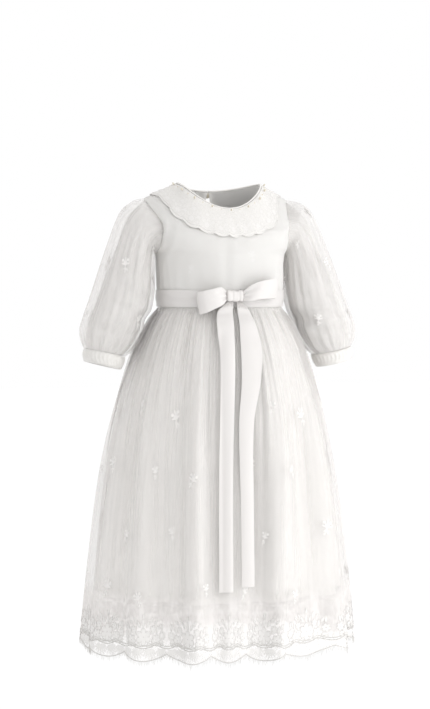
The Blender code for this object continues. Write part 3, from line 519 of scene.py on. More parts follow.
def guide(name, grid, flat):
    """The outside of a cloth as one surface, on which embroidery is placed by cloth coordinates."""
    quads = grid_quads(*grid.shape[:2])
    mesh = new_mesh(name, grid.reshape(-1, 3), quads.tolist())
    store_cloth(mesh, flat.reshape(-1, 2)[quads])
    return link(name, mesh)


def tube(name, points, sides, flat, finish, sharp=None):
    """A closed tube of rings of points, with its cloth coordinates as UV map."""
    rings = len(points) // sides
    faces = grid_quads(rings, sides, True)[:, [0, 3, 2, 1]].tolist()
    faces += [list(range(sides))[::-1], list(range((rings - 1) * sides, rings * sides))]
    mesh = new_mesh(name, points, faces, finish, sharp)
    store_cloth(mesh, np.concatenate([flat[face] for face in faces]))
    return link(name, mesh)


def run_along(path):
    """The length run at each point of a path."""
    return np.cumsum(np.linalg.norm(np.diff(path, axis=0, prepend=path[:1]), axis=1))


def settle(piece, slot, *nodes):
    """Let a finished piece ride on the gown and stand for its solids; slot is not used."""
    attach(piece, "root")
    if nodes:
        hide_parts(*nodes)
    return piece


# Bodice and collar


def neck_point(turn, front):
    """A point of the neckline: turn is 0 at its middle and +-90 at the neck points."""
    angle = math.radians(turn)
    drop = FRONT_NECK_DROP if front else BACK_NECK_DROP
    y = (-1 if front else 1) * NECK_HALF_DEPTH * math.cos(angle)
    return np.array([NECK_HALF_WIDTH * math.sin(angle), y, -drop * math.cos(angle) ** 2])


def top_point(share, front):
    """The top edge of a bodice panel: neckline in the middle, shoulder seam beside it."""
    if abs(share) <= NECK_SHARE:
        return neck_point(90 * share / NECK_SHARE, front)
    along = (abs(share) - NECK_SHARE) / (1 - NECK_SHARE)
    point = neck_point(90, front) * (1 - along) + SHOULDER_TIP * along
    return point * np.array([math.copysign(1.0, share), 1, 1])


def level_point(level, share):
    """A point of one bodice level: share is 0 at the middle of the panel and +-1 at its edges."""
    angle = math.radians(90 * share)
    rise = level.edge_z - level.middle_z
    return np.array([
        level.edge_x * math.sin(angle),
        level.edge_y + (level.middle_y - level.edge_y) * math.cos(angle),
        level.middle_z + rise * abs(share) ** 2,
    ])


def bodice_column(share, front, finer):
    """One line of bodice points, from the top edge down to the waist."""
    levels = FRONT_LEVELS if front else BACK_LEVELS
    stops = np.array([top_point(share, front)] + [level_point(level, share) for level in levels])
    places = np.concatenate([[0], np.cumsum(np.linalg.norm(np.diff(stops, axis=0), axis=1))])
    steps = [level.segments * finer for level in levels]
    at = np.concatenate(
        [np.linspace(places[i], places[i + 1], n, endpoint=False) for i, n in enumerate(steps)]
        + [places[-1:]])
    whole = hermite(stops, places, at)
    cut = UNDERARM_LEVEL
    above = hermite(stops[:cut + 1], places[:cut + 1], at)
    below = hermite(stops[cut:], places[cut:], at)
    split = np.where((np.arange(len(at)) < sum(steps[:cut]))[:, None], above, below)
    return whole + (split - whole) * abs(share) ** 6


def bodice_grid(shares, front, finer):
    """Bodice points: rows from top to waist, columns by share of the panel."""
    return np.stack([bodice_column(share, front, finer) for share in shares], axis=1)


def bodice_ease(shares, grid, front):
    """Small soft folds of a bodice panel, above the sash and beside the armholes, in metres."""
    z = grid[..., 2]
    sides = smooth((np.abs(shares) - 0.15) / 0.5)
    low = smooth((SASH_TOP + 0.055 - z) / 0.055)
    low = low * (1 - 0.75 * smooth((SASH_TOP + 0.004 - z) / 0.006))
    waves = np.cos(2 * np.pi * (8.5 * shares + 0.35 * np.sin(7 * shares)))
    pull = np.cos(2 * np.pi * (3.2 * np.abs(shares) + 14 * z + 0.25 * np.sin(5 * shares)))
    armhole = smooth((np.abs(shares) - 0.45) / 0.4)
    armhole = armhole * smooth((z + 0.150) / 0.05) * smooth((-0.035 - z) / 0.03)
    centre = np.exp(-((shares + 0.10) / 0.06) ** 2) * smooth((-0.070 - z) / 0.03) if front else 0.0
    below_sash = 1 - smooth((SASH_TOP + 0.006 - z) / 0.006)
    return 0.0006 * waves * low * sides + 0.0012 * pull * armhole - 0.0014 * centre * below_sash


def slit_gap(z):
    """Half the width of the centre-back slit at each height."""
    depth = (-BACK_NECK_DROP - z) / SLIT_LENGTH
    open_part = SLIT_HALF_GAP * np.sin(np.pi * np.clip(depth, 0, 1) ** 0.6)
    return 0.0001 + open_part


def bodice_tree():
    """The outside of the bodice with its seams and slit closed, for laying other pieces on it."""
    points, faces = [], []
    for front in (True, False):
        shares = np.linspace(-1, 1, 61)
        grid = bodice_grid(shares if front else shares[::-1], front, 3)
        faces += (len(points) + grid_quads(*grid.shape[:2])).tolist()
        points += grid.reshape(-1, 3).tolist()
    return BVHTree.FromPolygons(points, faces)


def neck_rise(turns):
    """How far up the neckline lies from the collar's eye, by degrees round from the front."""
    half = [neck_point(step, True) for step in range(91)]
    half += [neck_point(step, False) for step in range(89, -1, -1)]
    seen = np.array(half) - COLLAR_EYE
    around = np.degrees(np.arctan2(seen[:, 0], -seen[:, 1]))
    rise = np.degrees(np.arctan2(seen[:, 2], np.hypot(seen[:, 0], seen[:, 1])))
    return np.interp(np.abs(turns), around, rise)


def collar_share(across, down):
    """How far down the collar a point lies, drawn up between the scallops."""
    scallop = np.abs(np.sin(np.pi * COLLAR_SCALLOPS * across))
    return down * (1 + COLLAR_SCALLOP_SHARE * (scallop - 1) * down ** 3)


def collar_grid(tree, columns, rows):
    """Round lace collar laid on the bodice, lifting in soft waves, open at the centre back."""
    across = np.linspace(0, 1, columns + 1)
    down = np.linspace(0, 1, rows + 1)[:, None]
    turns = COLLAR_END_TURN * (2 * across - 1)
    inner = neck_rise(turns) - 0.8
    outer = column(COLLAR_EDGE, "outer_rise", [row.turn for row in COLLAR_EDGE], np.abs(turns))
    lift = np.radians(inner + (outer - inner) * collar_share(across, down))
    around = np.radians(turns)
    ways = np.stack([np.sin(around) * np.cos(lift), -np.cos(around) * np.cos(lift), np.sin(lift)], -1)
    reach = np.empty(ways.shape[:2])
    for i in range(rows + 1):
        for j in range(columns + 1):
            way = Vector(ways[i, j])
            eye = Vector(COLLAR_EYE)
            hit, normal, _, _ = tree.ray_cast(eye + way * 0.4, -way)
            reach[i, j] = (hit - eye).length + COLLAR_CLEARANCE / max(normal.dot(way), 0.35)
    lain = reach.copy()
    for _ in range(40):
        edged = np.pad(reach, 1, mode="edge")
        blurred = (edged[:-2, 1:-1] + edged[2:, 1:-1] + edged[1:-1, :-2] + edged[1:-1, 2:]) / 4
        reach = np.maximum(lain, blurred)
    wave = 0.5 + 0.5 * np.sin(2 * np.pi * 11 * across + 0.6 + 0.8 * np.sin(2 * np.pi * 3 * across))
    ruffle = 0.5 + 0.5 * np.cos(2 * np.pi * COLLAR_SCALLOPS * across)
    reach = reach + (0.0016 * wave + 0.0005 * ruffle) * down ** 1.5
    return COLLAR_EYE + ways * reach[..., None]


# Sleeves


def armhole_loop(turns, side, shrink):
    """The armhole edge: from the shoulder tip down the front, under the arm and up the back."""
    halves = []
    for front in (True, False):
        levels = FRONT_LEVELS if front else BACK_LEVELS
        steps = 4 * sum(level.segments for level in levels[:UNDERARM_LEVEL])
        halves.append(bodice_column(1.0, front, 4)[:steps + 1])
    middle = np.concatenate(halves).mean(axis=0)
    loop = np.empty((len(turns), 3))
    for j, turn in enumerate(turns % 360):
        half = halves[0] if turn < 180 else halves[1]
        places = np.concatenate([[0], np.cumsum(np.linalg.norm(np.diff(half, axis=0), axis=1))])
        share = turn / 180 if turn < 180 else 2 - turn / 180
        point = np.array([np.interp(places[-1] * share, places, half[:, axis]) for axis in range(3)])
        inwards = (middle - point) * np.array([0, 1, 1])
        loop[j] = point + unit(inwards) * shrink + np.array([0.00055, 0, 0])
    return loop * np.array([side, 1, 1])


def sleeve_rings(table, at, turns, side, inset, puff):
    """Rings of a sleeve at places in its table, drawn in by an inset and pushed out by puff."""
    at = np.asarray(at, float)
    places = list(range(len(table)))
    value = {name: column(table, name, places, at) for name in Sleeve._fields}
    outer = np.stack([value["outer_x"], value["middle_y"], value["outer_z"]], -1)
    inner = np.stack([value["inner_x"], value["middle_y"], value["inner_z"]], -1)
    across = unit(outer - inner)
    gap = value["lining_gap"][:, None]
    outer = outer - across * inset * gap
    inner = inner + across * inset * (LINING_INNER_GAP + 0.12 * gap)
    middle = 0.5 * (outer + inner)
    half = 0.5 * np.linalg.norm(outer - inner, axis=1)
    depth = value["half_depth"] - inset * (LINING_INNER_GAP + 0.35 * value["lining_gap"])
    angle = np.radians(turns)[None, :]
    extra = puff(at[:, None], turns[None, :]) if puff else 0.0
    reach = (half[:, None] + extra) * np.cos(angle)
    grid = middle[:, None, :] + across[:, None, :] * reach[..., None]
    grid[..., 1] -= (depth[:, None] + extra) * np.sin(angle)
    return grid * np.array([side, 1, 1])


def crease_depth(creases, turns, along):
    """How far the creases pull a sleeve in."""
    depth = 0.0
    for crease in creases:
        leaning = turns - crease.turn - crease.lean * (along - crease.along)
        a = ((leaning + 180) % 360 - 180) / crease.half_turn
        b = (along - crease.along) / crease.half_along
        inside = (np.abs(a) < 1) & (np.abs(b) < 1)
        depth = depth + np.where(
            inside, crease.depth * np.cos(0.5 * np.pi * a) ** 2 * np.cos(0.5 * np.pi * b) ** 2, 0)
    return depth


def sleeve_grid(side, turns, at, inset, shrink):
    """A sleeve or its lining, from the armhole to the cuff."""
    creases = LEFT_CREASES if side < 0 else RIGHT_CREASES
    last = len(SLEEVE_SECTIONS) - 1

    def puff(place, around):
        along = place / last
        warp = 0.16 * np.sin(np.radians(3 * around + 40 * side)) + 0.10 * np.sin(np.radians(7 * around))
        wave = np.cos(2 * np.pi * (SLEEVE_GATHERS * around / 360 + warp))
        upper = smooth(0.5 + 0.6 * np.cos(np.radians(around)))
        uneven = 0.85 + 0.3 * np.sin(np.radians(5 * around + 70 * side))
        head = HEAD_GATHER_DEPTH * upper * smooth(0.15 + along * 8) * smooth(1 - along * 2.4 * uneven)
        cuff = CUFF_GATHER_DEPTH * smooth((along - 0.66 + 0.06 * uneven) * 3.2) * smooth((1.03 - along) * 9)
        ripple = 0.0006 * np.cos(2 * np.pi * (23 * around / 360 + 0.5 * np.sin(6 * along)))
        soft = crease_depth(SLEEVE_CREASES, around, along) + 1.8 * crease_depth(creases, around, along)
        ripple = ripple * smooth(along * 6) * smooth((1 - along) * 8)
        return (1 - inset) * (uneven * wave * (head + cuff) + ripple) - soft

    rings = sleeve_rings(SLEEVE_SECTIONS, at, turns, side, inset, puff)
    edge = armhole_loop(turns, side, shrink)
    first, second = rings[0], sleeve_rings(SLEEVE_SECTIONS, [1.0], turns, side, inset, puff)[0]
    rows = [edge]
    for t in (0.25, 0.5, 0.75):
        t2, t3 = t * t, t * t * t
        rows.append(
            edge * (2 * t3 - 3 * t2 + 1) + (first - edge) * (t3 - 2 * t2 + t)
            + first * (3 * t2 - 2 * t3) + 0.5 * (second - edge) * (t3 - t2))
    return np.concatenate([np.array(rows), rings])


def ring_turns(count):
    """Even turns round a closed ring, in degrees."""
    return np.arange(count) * 360 / count


def sleeve_heights(at):
    """Cloth coordinates down a sleeve: four rows of its rounded head, then places in its table."""
    places = np.concatenate([np.linspace(-1, 0, 5)[:4], at]) / 10
    return -SLEEVE_FLAT_LENGTH * places[:, None]


def turned(grid, side):
    """A sleeve's ring order on either side, so that its faces point out."""
    if side > 0:
        return np.concatenate([grid[:, :1], grid[:, :0:-1]], axis=1)
    return grid


# Skirt


def drift(turns):
    """How far the cloth that leaves the waist at each turn has swung round by the hem."""
    waist = [fold.waist_turn for fold in SKIRT_FOLDS]
    swing = [fold.hem_turn - fold.waist_turn for fold in SKIRT_FOLDS]
    return np.interp(turns, waist, swing, period=360)


def fold_height(turns, z):
    """How far the skirt's hanging folds stand out."""
    grown = smooth((WAIST_Z - z) / (WAIST_Z - FOLDS_FULL_Z))
    height = 0.0
    for fold in SKIRT_FOLDS:
        near = ((turns - fold.waist_turn + 180) % 360 - 180) / fold.half_turn
        leaning = near + FOLD_SKEW * (1 - near ** 2)
        height = height + np.where(np.abs(near) < 1, fold.height * np.cos(0.5 * np.pi * leaning) ** 2, 0)
    return grown * (height - FOLD_SINK)


def skirt_points(sections, turns, z, extra):
    """Points of a skirt layer, pushed out from its oval outline by folds and extra."""
    places = [-row.z for row in sections]
    half_width = column(sections, "half_width", places, -z)
    half_depth = column(sections, "half_depth", places, -z)
    middle_y = column(sections, "middle_y", places, -z)
    down = np.maximum((WAIST_Z - z) / (WAIST_Z - HEM_Z), 0)
    angle = np.radians(turns + drift(turns) * down)
    out = unit(np.stack([np.sin(angle) / half_width, -np.cos(angle) / half_depth, 0 * angle], -1))
    base = np.stack([half_width * np.sin(angle), middle_y - half_depth * np.cos(angle), z + 0 * angle], -1)
    return base + out * (fold_height(turns, z) + extra)[..., None]


def gather_depth(z):
    """Depth of the small gathers in the solids: most a little below the seam, none lower down."""
    below = WAIST_Z - z
    return GATHER_DEPTH * (0.22 + 0.78 * smooth(below / 0.016)) * smooth(1 - (below - 0.03) / 0.27)


def gathers(turns, z):
    """The overlay's gathers, uneven in spacing, depth and length, and the long soft ripples under them."""
    below = WAIST_Z - z
    warp = 0.20 * np.sin(np.radians(5 * turns + 20)) + 0.12 * np.sin(np.radians(11 * turns - 50))
    wave = np.cos(2 * np.pi * (SKIRT_GATHERS * turns / 360 + warp))
    deep = 0.85 + 0.30 * np.sin(np.radians(7 * turns + 40)) + 0.15 * np.sin(np.radians(13 * turns))
    long = 0.30 + 0.10 * np.sin(np.radians(9 * turns - 30)) + 0.06 * np.sin(np.radians(16 * turns + 80))
    fine = GATHER_DEPTH * (0.22 + 0.78 * smooth(below / 0.016)) * smooth(1 - (below - 0.03) / long)
    half_wave = np.cos(2 * np.pi * (0.5 * SKIRT_GATHERS * turns / 360 + 0.7 * warp + 0.2))
    middle = 0.0026 * smooth(below / 0.08) * smooth(1 - (below - 0.12) / 0.34)
    ripple = np.cos(2 * np.pi * (31 * turns / 360 + 0.35 * np.sin(np.radians(4 * turns + 60))))
    lower = 0.0016 * smooth((below - 0.10) / 0.20) * (0.6 + 0.4 * np.sin(np.radians(5 * turns)))
    pleat = np.cos(2 * np.pi * (107 * turns / 360 + 0.8 * warp + 0.4 * np.sin(np.radians(17 * turns))))
    small = 0.0017 * smooth(below / 0.010) * smooth(1 - (below - 0.02) / (0.75 * long))
    return wave * deep * fine + half_wave * middle * deep + ripple * lower + pleat * small * deep


def hem_lobes(turns):
    """The hem's scallops: 1 at the lowest point of each and 0 between them."""
    return np.abs(np.sin(0.5 * HEM_SCALLOPS * np.radians(turns + 90)))


def hem_drop(turns, z):
    """How far the scallops lower the overlay, growing towards the hem."""
    return HEM_SCALLOP_DEPTH * hem_lobes(turns) * smooth((-0.640 - z) / 0.066)


def overlay_points(turns, z):
    """The outside of the tulle overlay."""
    return skirt_points(OVERLAY_SECTIONS, turns, z, gathers(turns, z))


def lining_points(turns, z):
    """The outside of the skirt's lining."""
    below = WAIST_Z - z
    ripple = np.cos(2 * np.pi * (19 * turns / 360 + 0.4 * np.sin(np.radians(3 * turns))))
    gather = np.cos(2 * np.pi * (41 * turns / 360 + 0.3 * np.sin(np.radians(4 * turns + 10))))
    length = 0.16 + 0.05 * np.sin(np.radians(7 * turns))
    puckers = 0.0017 * gather * smooth((below + 0.002) / 0.02) * smooth(1 - (below - 0.03) / length)
    return skirt_points(LINING_SECTIONS, turns, z, puckers + 0.0016 * ripple * smooth((below - 0.05) / 0.2))


def skirt_flat(turns, z):
    """Cloth coordinates on the skirt: metres round from the front middle, and height."""
    return cloth_map(turns * SKIRT_FLAT_WIDTH / 360, z)


def skirt_wall(name, points, turns, z, thickness, finish):
    """The shell of a skirt layer over a row of turns and a column of heights."""
    turns, z = np.broadcast_arrays(turns, z)
    return wall(name, points(turns, z), skirt_flat(turns, z), False, thickness, finish)


def skirt_guide(name, points, turns, z):
    """The guide of a skirt layer over a row of turns and a column of heights."""
    turns, z = np.broadcast_arrays(turns, z)
    return guide(name, points(turns, z), skirt_flat(turns, z))


# Ribbon


def waist_points(turns, z):
    """Points on the outside of the bodice between underarm and waist, and their outward directions."""
    front = np.abs((turns + 180) % 360 - 180) <= 90
    found = []
    for levels in (FRONT_LEVELS[2:], BACK_LEVELS[2:]):
        places = [-level.middle_z for level in levels]
        edge_x = column(levels, "edge_x", places, -z)
        edge_y = column(levels, "edge_y", places, -z)
        depth = np.abs(column(levels, "middle_y", places, -z) - edge_y)
        angle = np.radians(turns)
        out = np.stack([np.sin(angle) / edge_x, -np.cos(angle) / depth, 0 * angle + 0 * z], -1)
        base = np.stack([edge_x * np.sin(angle), edge_y - depth * np.cos(angle), z + 0 * angle], -1)
        found.append((base, unit(out)))
    pick = front[..., None] if front.ndim == 2 else front[:, None]
    return np.where(pick, found[0][0], found[1][0]), np.where(pick, found[0][1], found[1][1])


def waist_turn(turn, z):
    """The waist turn of the cloth that lies at a turn at a height."""
    down = max((WAIST_Z - z) / (WAIST_Z - HEM_Z), 0)
    found = turn
    for _ in range(12):
        found = turn - drift(found) * down
    return found


def tail_stations(table, count):
    """Middle points and half-width vectors of a bow tail: it hangs on the skirt, clear of its folds."""
    places = [-row.z for row in table]
    outline = [-row.z for row in OVERLAY_SECTIONS]
    middles, halves = [], []
    for i in range(count + 1):
        down = (i / count) ** 1.6
        z = table[0].z + (table[-1].z - table[0].z) * down
        row = {name: float(column(table, name, places, -z)) for name in Tail._fields[1:]}
        twist = math.radians(row["twist"])
        half = np.array([math.cos(twist), -math.sin(twist), 0]) * 0.5 * row["width"]
        under = min(z, WAIST_Z)
        degrees = math.degrees(half[0] / float(column(OVERLAY_SECTIONS, "half_width", outline, -under)))
        spun = waist_turn(row["turn"], under)
        middle = skirt_points(OVERLAY_SECTIONS, np.array(spun), np.array(under), 0.0)
        steps = np.arange(-4, 5)
        behind = skirt_points(
            OVERLAY_SECTIONS, spun + degrees * steps / 3, np.full(9, under), gather_depth(under) + 0.001)
        foremost = (behind[:, 1] - np.clip(steps / 3, -1, 1) * half[1]).min()
        hanging = foremost - row["stand_off"]
        leaving = 1 - smooth(down / TAIL_DROP_SHARE)
        y = min(hanging + (BOW_MIDDLE[1] - hanging) * leaving, foremost - 0.0011)
        middles.append([middle[0], y, z])
        halves.append(half)
    return np.array(middles), np.array(halves)


def skirt_tree():
    """The front of the overlay without its small gathers, for laying the tails on it."""
    turns, z = np.broadcast_arrays(
        np.linspace(-60, 60, 241)[None, :], np.linspace(WAIST_Z, HEM_Z, 100)[:, None])
    grid = skirt_points(OVERLAY_SECTIONS, turns, z, gather_depth(z) + 0.0006)
    return BVHTree.FromPolygons(grid.reshape(-1, 3).tolist(), grid_quads(*grid.shape[:2]).tolist())


def settle_on_skirt(grid, skirt):
    """Let a hanging tail sink back towards the skirt, most where it hangs clear of it."""
    lain = grid.copy()
    for i in range(grid.shape[0]):
        for j in range(grid.shape[1]):
            x, y, z = grid[i, j]
            hit = skirt.ray_cast(Vector((x, -1.0, min(z, WAIST_Z - 0.0001))), Vector((0, 1, 0)))[0]
            room = hit.y - 0.0012 - y
            sinking = 1.0 if room < 0 else float(smooth((WAIST_Z + 0.004 - z) / 0.05))
            lain[i, j, 1] = y + min(room, TAIL_SINK) * sinking
    return lain


def loop_stations(table, count):
    """Middle points and half-width vectors of a bow loop."""
    places = list(range(len(table)))
    at = np.linspace(0, len(table) - 1, count + 1)
    value = {name: column(table, name, places, at) for name in RibbonPoint._fields}
    lean = np.radians(value["twist"])
    half = np.stack([np.sin(lean), 0 * lean, np.cos(lean)], -1) * 0.5 * value["width"][:, None]
    return BOW_MIDDLE + np.stack([value["x"], value["y"], value["z"]], -1), half


# Finishes


def add(tree, kind, inputs=None, **settings):
    """Add a node with its settings; an input's value is a socket to link from, or a plain value."""
    node = tree.nodes.new(kind)
    for name, value in settings.items():
        setattr(node, name, value)
    for key, value in (inputs or {}).items():
        if isinstance(value, bpy.types.NodeSocket):
            tree.links.new(value, node.inputs[key])
        else:
            node.inputs[key].default_value = value
    return node


def new_finish(name, colour, roughness, sheen=0.0, coat=0.0, specular=0.5, glow=0.0):
    """A material with a plain shader, and its tree and shader for patterns to be linked to."""
    finish = bpy.data.materials.new(name)
    finish.use_nodes = True
    tree = finish.node_tree
    shader = tree.nodes["Principled BSDF"]
    values = {
        "Base Color": (*colour, 1), "Roughness": roughness, "Metallic": 0.0, "IOR": 1.5,
        "Specular IOR Level": specular, "Sheen Weight": sheen, "Sheen Roughness": 0.5, "Coat Weight": coat,
        "Subsurface Weight": glow, "Subsurface Radius": (1.0, 1.0, 1.0), "Subsurface Scale": 0.0025,
    }
    for label, value in values.items():
        shader.inputs[label].default_value = value
    return finish, tree, shader


def reckon(tree, operation, first, second, use_clamp=False):
    """One step of arithmetic with two values."""
    node = add(tree, "ShaderNodeMath", {0: first, 1: second}, operation=operation, use_clamp=use_clamp)
    return node.outputs[0]


def ramp(tree, value, low, high, bottom, top):
    """A value between low and high, brought between bottom and top."""
    return add(tree, "ShaderNodeMapRange", {
        "Value": value, "From Min": low, "From Max": high, "To Min": bottom, "To Max": top,
    }).outputs["Result"]


def grain_pattern(tree, scale, detail):
    """Even noise, in object coordinates."""
    where = add(tree, "ShaderNodeTexCoord")
    noise = add(tree, "ShaderNodeTexNoise", {
        "Vector": where.outputs["Object"], "Scale": scale, "Detail": detail,
    })
    return noise.outputs["Fac"]


def thread_pattern(tree, across, along):
    """Noise drawn out along threads, in cloth coordinates, with its thread spacings in metres."""
    flat = add(tree, "ShaderNodeUVMap", uv_map="Cloth")
    scaled = add(tree, "ShaderNodeMapping", {
        "Vector": flat.outputs["UV"], "Scale": (1 / across, 1 / along, 1),
    })
    noise = add(tree, "ShaderNodeTexNoise", {
        "Vector": scaled.outputs["Vector"], "Scale": 1.0, "Detail": 2.0, "Roughness": 0.6,
    })
    return noise.outputs["Fac"]


def net_pattern(tree, pitch, thick):
    """A hexagonal net in cloth coordinates: 1 on its threads and 0 in its holes."""
    flat = add(tree, "ShaderNodeUVMap", uv_map="Cloth")
    step = 2 * math.pi / pitch
    total = None
    for turn in (0, 60, 120):
        way = (step * math.cos(math.radians(turn)), step * math.sin(math.radians(turn)), 0)
        along = add(tree, "ShaderNodeVectorMath", {0: flat.outputs["UV"], 1: way}, operation="DOT_PRODUCT")
        wave = add(tree, "ShaderNodeMath", {0: along.outputs["Value"]}, operation="COSINE")
        total = wave.outputs[0] if total is None else reckon(tree, "ADD", total, wave.outputs[0])
    return ramp(tree, total, thick - 0.5, thick + 0.5, 1.0, 0.0)


def bump(tree, shader, height, strength, distance):
    """Link a bump to a shader."""
    made = add(tree, "ShaderNodeBump", {"Height": height, "Strength": strength, "Distance": distance})
    tree.links.new(made.outputs["Normal"], shader.inputs["Normal"])


def make_finishes(colours, sizes):
    """Make every material of the gown."""

    # Polyester duchesse satin, woven with long floats: smooth, with a soft broad gloss.
    # Its 0.1 mm threads are drawn 1 mm apart, the finest that shows.
    _, tree, shader = new_finish(FINISH_NAMES["satin"], colours.satin, 0.40, sheen=0.12, glow=0.7)
    bump(tree, shader, thread_pattern(tree, across=0.0010, along=0.0060), strength=0.18, distance=0.0004)

    # The same satin with tulle mounted on it: the net dulls the gloss and grains the surface.
    _, tree, shader = new_finish(FINISH_NAMES["mounted"], colours.mounted, 0.52, sheen=0.15, glow=0.9)
    bump(tree, shader, net_pattern(tree, sizes.net_pitch, thick=0.2), strength=0.30, distance=0.0003)

    # Nylon tulle, a knitted hexagonal net with 1 mm holes, drawn a little coarser: matt and see-through.
    # Long streaks stand for the net bunching and thinning out along the gathers.
    _, tree, shader = new_finish(FINISH_NAMES["tulle"], colours.tulle, 0.75, sheen=0.2, specular=0.3)
    net = net_pattern(tree, sizes.net_pitch, thick=-0.2)
    sheer = ramp(tree, net, 0.0, 1.0, sizes.hole_cover, sizes.thread_cover)
    streak = ramp(tree, thread_pattern(tree, across=0.0140, along=0.3000), 0.35, 0.65, 0.70, 1.35)
    cover = reckon(tree, "MULTIPLY", sheer, streak, use_clamp=True)
    # The net is denser in a band along the hem, from the lining's edge down to the edge cord
    flat = add(tree, "ShaderNodeUVMap", uv_map="Cloth")
    height = add(tree, "ShaderNodeSeparateXYZ", {0: flat.outputs["UV"]}).outputs["Y"]
    band_top = ramp(tree, height, -0.618, -0.636, 0.0, 0.28)
    band_bottom = ramp(tree, height, -0.684, -0.694, 1.0, 0.3)
    band = reckon(tree, "MULTIPLY", band_top, band_bottom)
    whole = reckon(tree, "ADD", cover, band, use_clamp=True)
    tree.links.new(whole, shader.inputs["Alpha"])

    # Cotton net ground of the collar, closer and denser than the tulle.
    _, tree, shader = new_finish(FINISH_NAMES["net"], colours.lace, 0.8, sheen=0.2, specular=0.3)
    net = net_pattern(tree, 0.8 * sizes.net_pitch, thick=0.2)
    tree.links.new(ramp(tree, net, 0.0, 1.0, 0.60, 0.98), shader.inputs["Alpha"])
    bump(tree, shader, net, strength=0.12, distance=0.0003)

    # Rayon embroidery thread, satin-stitched: close raised threads with a silky gloss.
    _, tree, shader = new_finish(FINISH_NAMES["thread"], colours.thread, 0.45, sheen=0.3)
    bump(tree, shader, grain_pattern(tree, scale=1400.0, detail=2.0), strength=0.12, distance=0.0003)

    # Mercerised cotton cord, twisted and couched down: duller and a little darker than the rayon. Laid as
    # rims round the hem's flowers, the same darker finish is painted shade.
    _, tree, shader = new_finish(FINISH_NAMES["cord"], colours.cord, 0.7, sheen=0.2, specular=0.3)
    bump(tree, shader, grain_pattern(tree, scale=900.0, detail=2.0), strength=0.2, distance=0.0003)

    # Double-faced satin ribbon: a little glossier than the dress satin, with fine ribs across.
    _, tree, shader = new_finish(FINISH_NAMES["ribbon"], colours.ribbon, 0.38, sheen=0.1, glow=0.3)
    bump(tree, shader, thread_pattern(tree, across=0.0060, along=0.0008), strength=0.12, distance=0.0003)

    # Acrylic pearl, moulded and lacquered: a clear coat over a milky body.
    _, tree, shader = new_finish(FINISH_NAMES["pearl"], colours.pearl, 0.25, coat=0.6)
    tint = add(tree, "ShaderNodeMix", {
        "Factor": grain_pattern(tree, scale=350.0, detail=1.0),
        6: (*colours.pearl, 1), 7: (*colours.pearl_shade, 1),
    }, data_type="RGBA")
    tree.links.new(tint.outputs[2], shader.inputs["Base Color"])

    # Gold-plated seed beads between the pearls.
    _, tree, shader = new_finish(FINISH_NAMES["gold"], colours.gold, 0.3)
    shader.inputs["Metallic"].default_value = 1.0
    bump(tree, shader, grain_pattern(tree, scale=900.0, detail=1.0), strength=0.2, distance=0.0002)


# Embroidery


def bit_outlines(bit):
    """Outlines, in metres, of one leaf or of a flower's six petals."""
    turn = np.linspace(0, 2 * np.pi, 11)[:-1]

    def blade(x, y, lean, length, width, round_tip):
        along = 0.5 * length * (1 - np.cos(turn))
        side = 0.5 * width * np.sin(turn) * (1 - (0.30 if round_tip else -0.25) * np.cos(turn))
        lean = math.radians(lean)
        return np.stack([
            x + along * math.sin(lean) + side * math.cos(lean),
            y + along * math.cos(lean) - side * math.sin(lean),
        ], -1) / 1000

    if bit.kind != "flower":
        return [blade(bit.x, bit.y, bit.turn, bit.length, bit.width, False)]
    found = []
    for k in range(6):
        lean = bit.turn + 60 * k
        foot = 0.10 * bit.length
        x = bit.x + foot * math.sin(math.radians(lean))
        y = bit.y + foot * math.cos(math.radians(lean))
        found.append(blade(x, y, lean, 0.90 * bit.length, bit.width, True))
    return found


def padded_shapes(name, outlines, height):
    """Raised satin-stitch shapes: each outline crowned in the middle, closed below."""
    points, faces = [], []
    for outline in outlines:
        start, count = len(points), len(outline)
        middle = outline.mean(axis=0)
        points += [(x, y, 0.12 * height) for x, y in outline]
        points += [(*middle, height), (*middle, 0.0)]
        for k in range(count):
            a, b = start + k, start + (k + 1) % count
            faces += [(b, a, start + count), (a, b, start + count + 1)]
    return link(name, new_mesh(name, points, faces, sharp=60))


def shade_rimmed(bits, rim):
    """The bits grown all round by a rim, in millimetres, for the dark line under them, which is painted shade
    round the raised flowers.
    """
    grown = []
    for bit in bits:
        lean, back = math.radians(bit.turn), 0.0 if bit.kind == "flower" else rim
        grown.append(bit._replace(
            x=bit.x - back * math.sin(lean), y=bit.y - back * math.cos(lean),
            length=bit.length + rim + back, width=bit.width + 1.4 * rim))
    return tuple(grown)


def motif(name, bits, height, mirrored=()):
    """An embroidered motif in flat cloth coordinates round its own origin."""
    outlines = [outline for bit in bits for outline in bit_outlines(bit)]
    for bit in mirrored:
        for outline in bit_outlines(bit):
            outlines += [outline, outline[::-1] * np.array([-1, 1])]
    return padded_shapes(name, outlines, height)


def thread_shape(name, length, half_width, height, pointed):
    """A short thread along +Y, three-sided: a stitch, or a lash that ends in a point."""
    tip = 0.15 if pointed else 0.7
    rings = ((0.0, 0.7), (0.2, 1.0), (0.8, 1.0 if not pointed else 0.5), (1.0, tip))
    corners = ((-1.0, 0.0), (1.0, 0.0), (0.0, 1.0))
    points = [(half_width * w * x, length * y, height * w * z) for y, w in rings for x, z in corners]
    faces = [(0, 1, 2), (9, 11, 10)]
    for ring in range(3):
        for k in range(3):
            a, b = 3 * ring + k, 3 * ring + (k + 1) % 3
            faces.append((a, a + 3, b + 3, b))
    return link(name, new_mesh(name, points, faces))


def bead_shape(name, radius):
    """A bead resting on the cloth."""
    rings, sides = 7, 10
    points = [(0, 0, 0)]
    for i in range(1, rings):
        lift = math.pi * i / rings
        for j in range(sides):
            turn = 2 * math.pi * j / sides
            flat = radius * math.sin(lift)
            points.append((flat * math.cos(turn), flat * math.sin(turn), radius * (1 - math.cos(lift))))
    points.append((0, 0, 2 * radius))
    return link(name, new_mesh(name, points, round_faces(rings - 1, sides)))


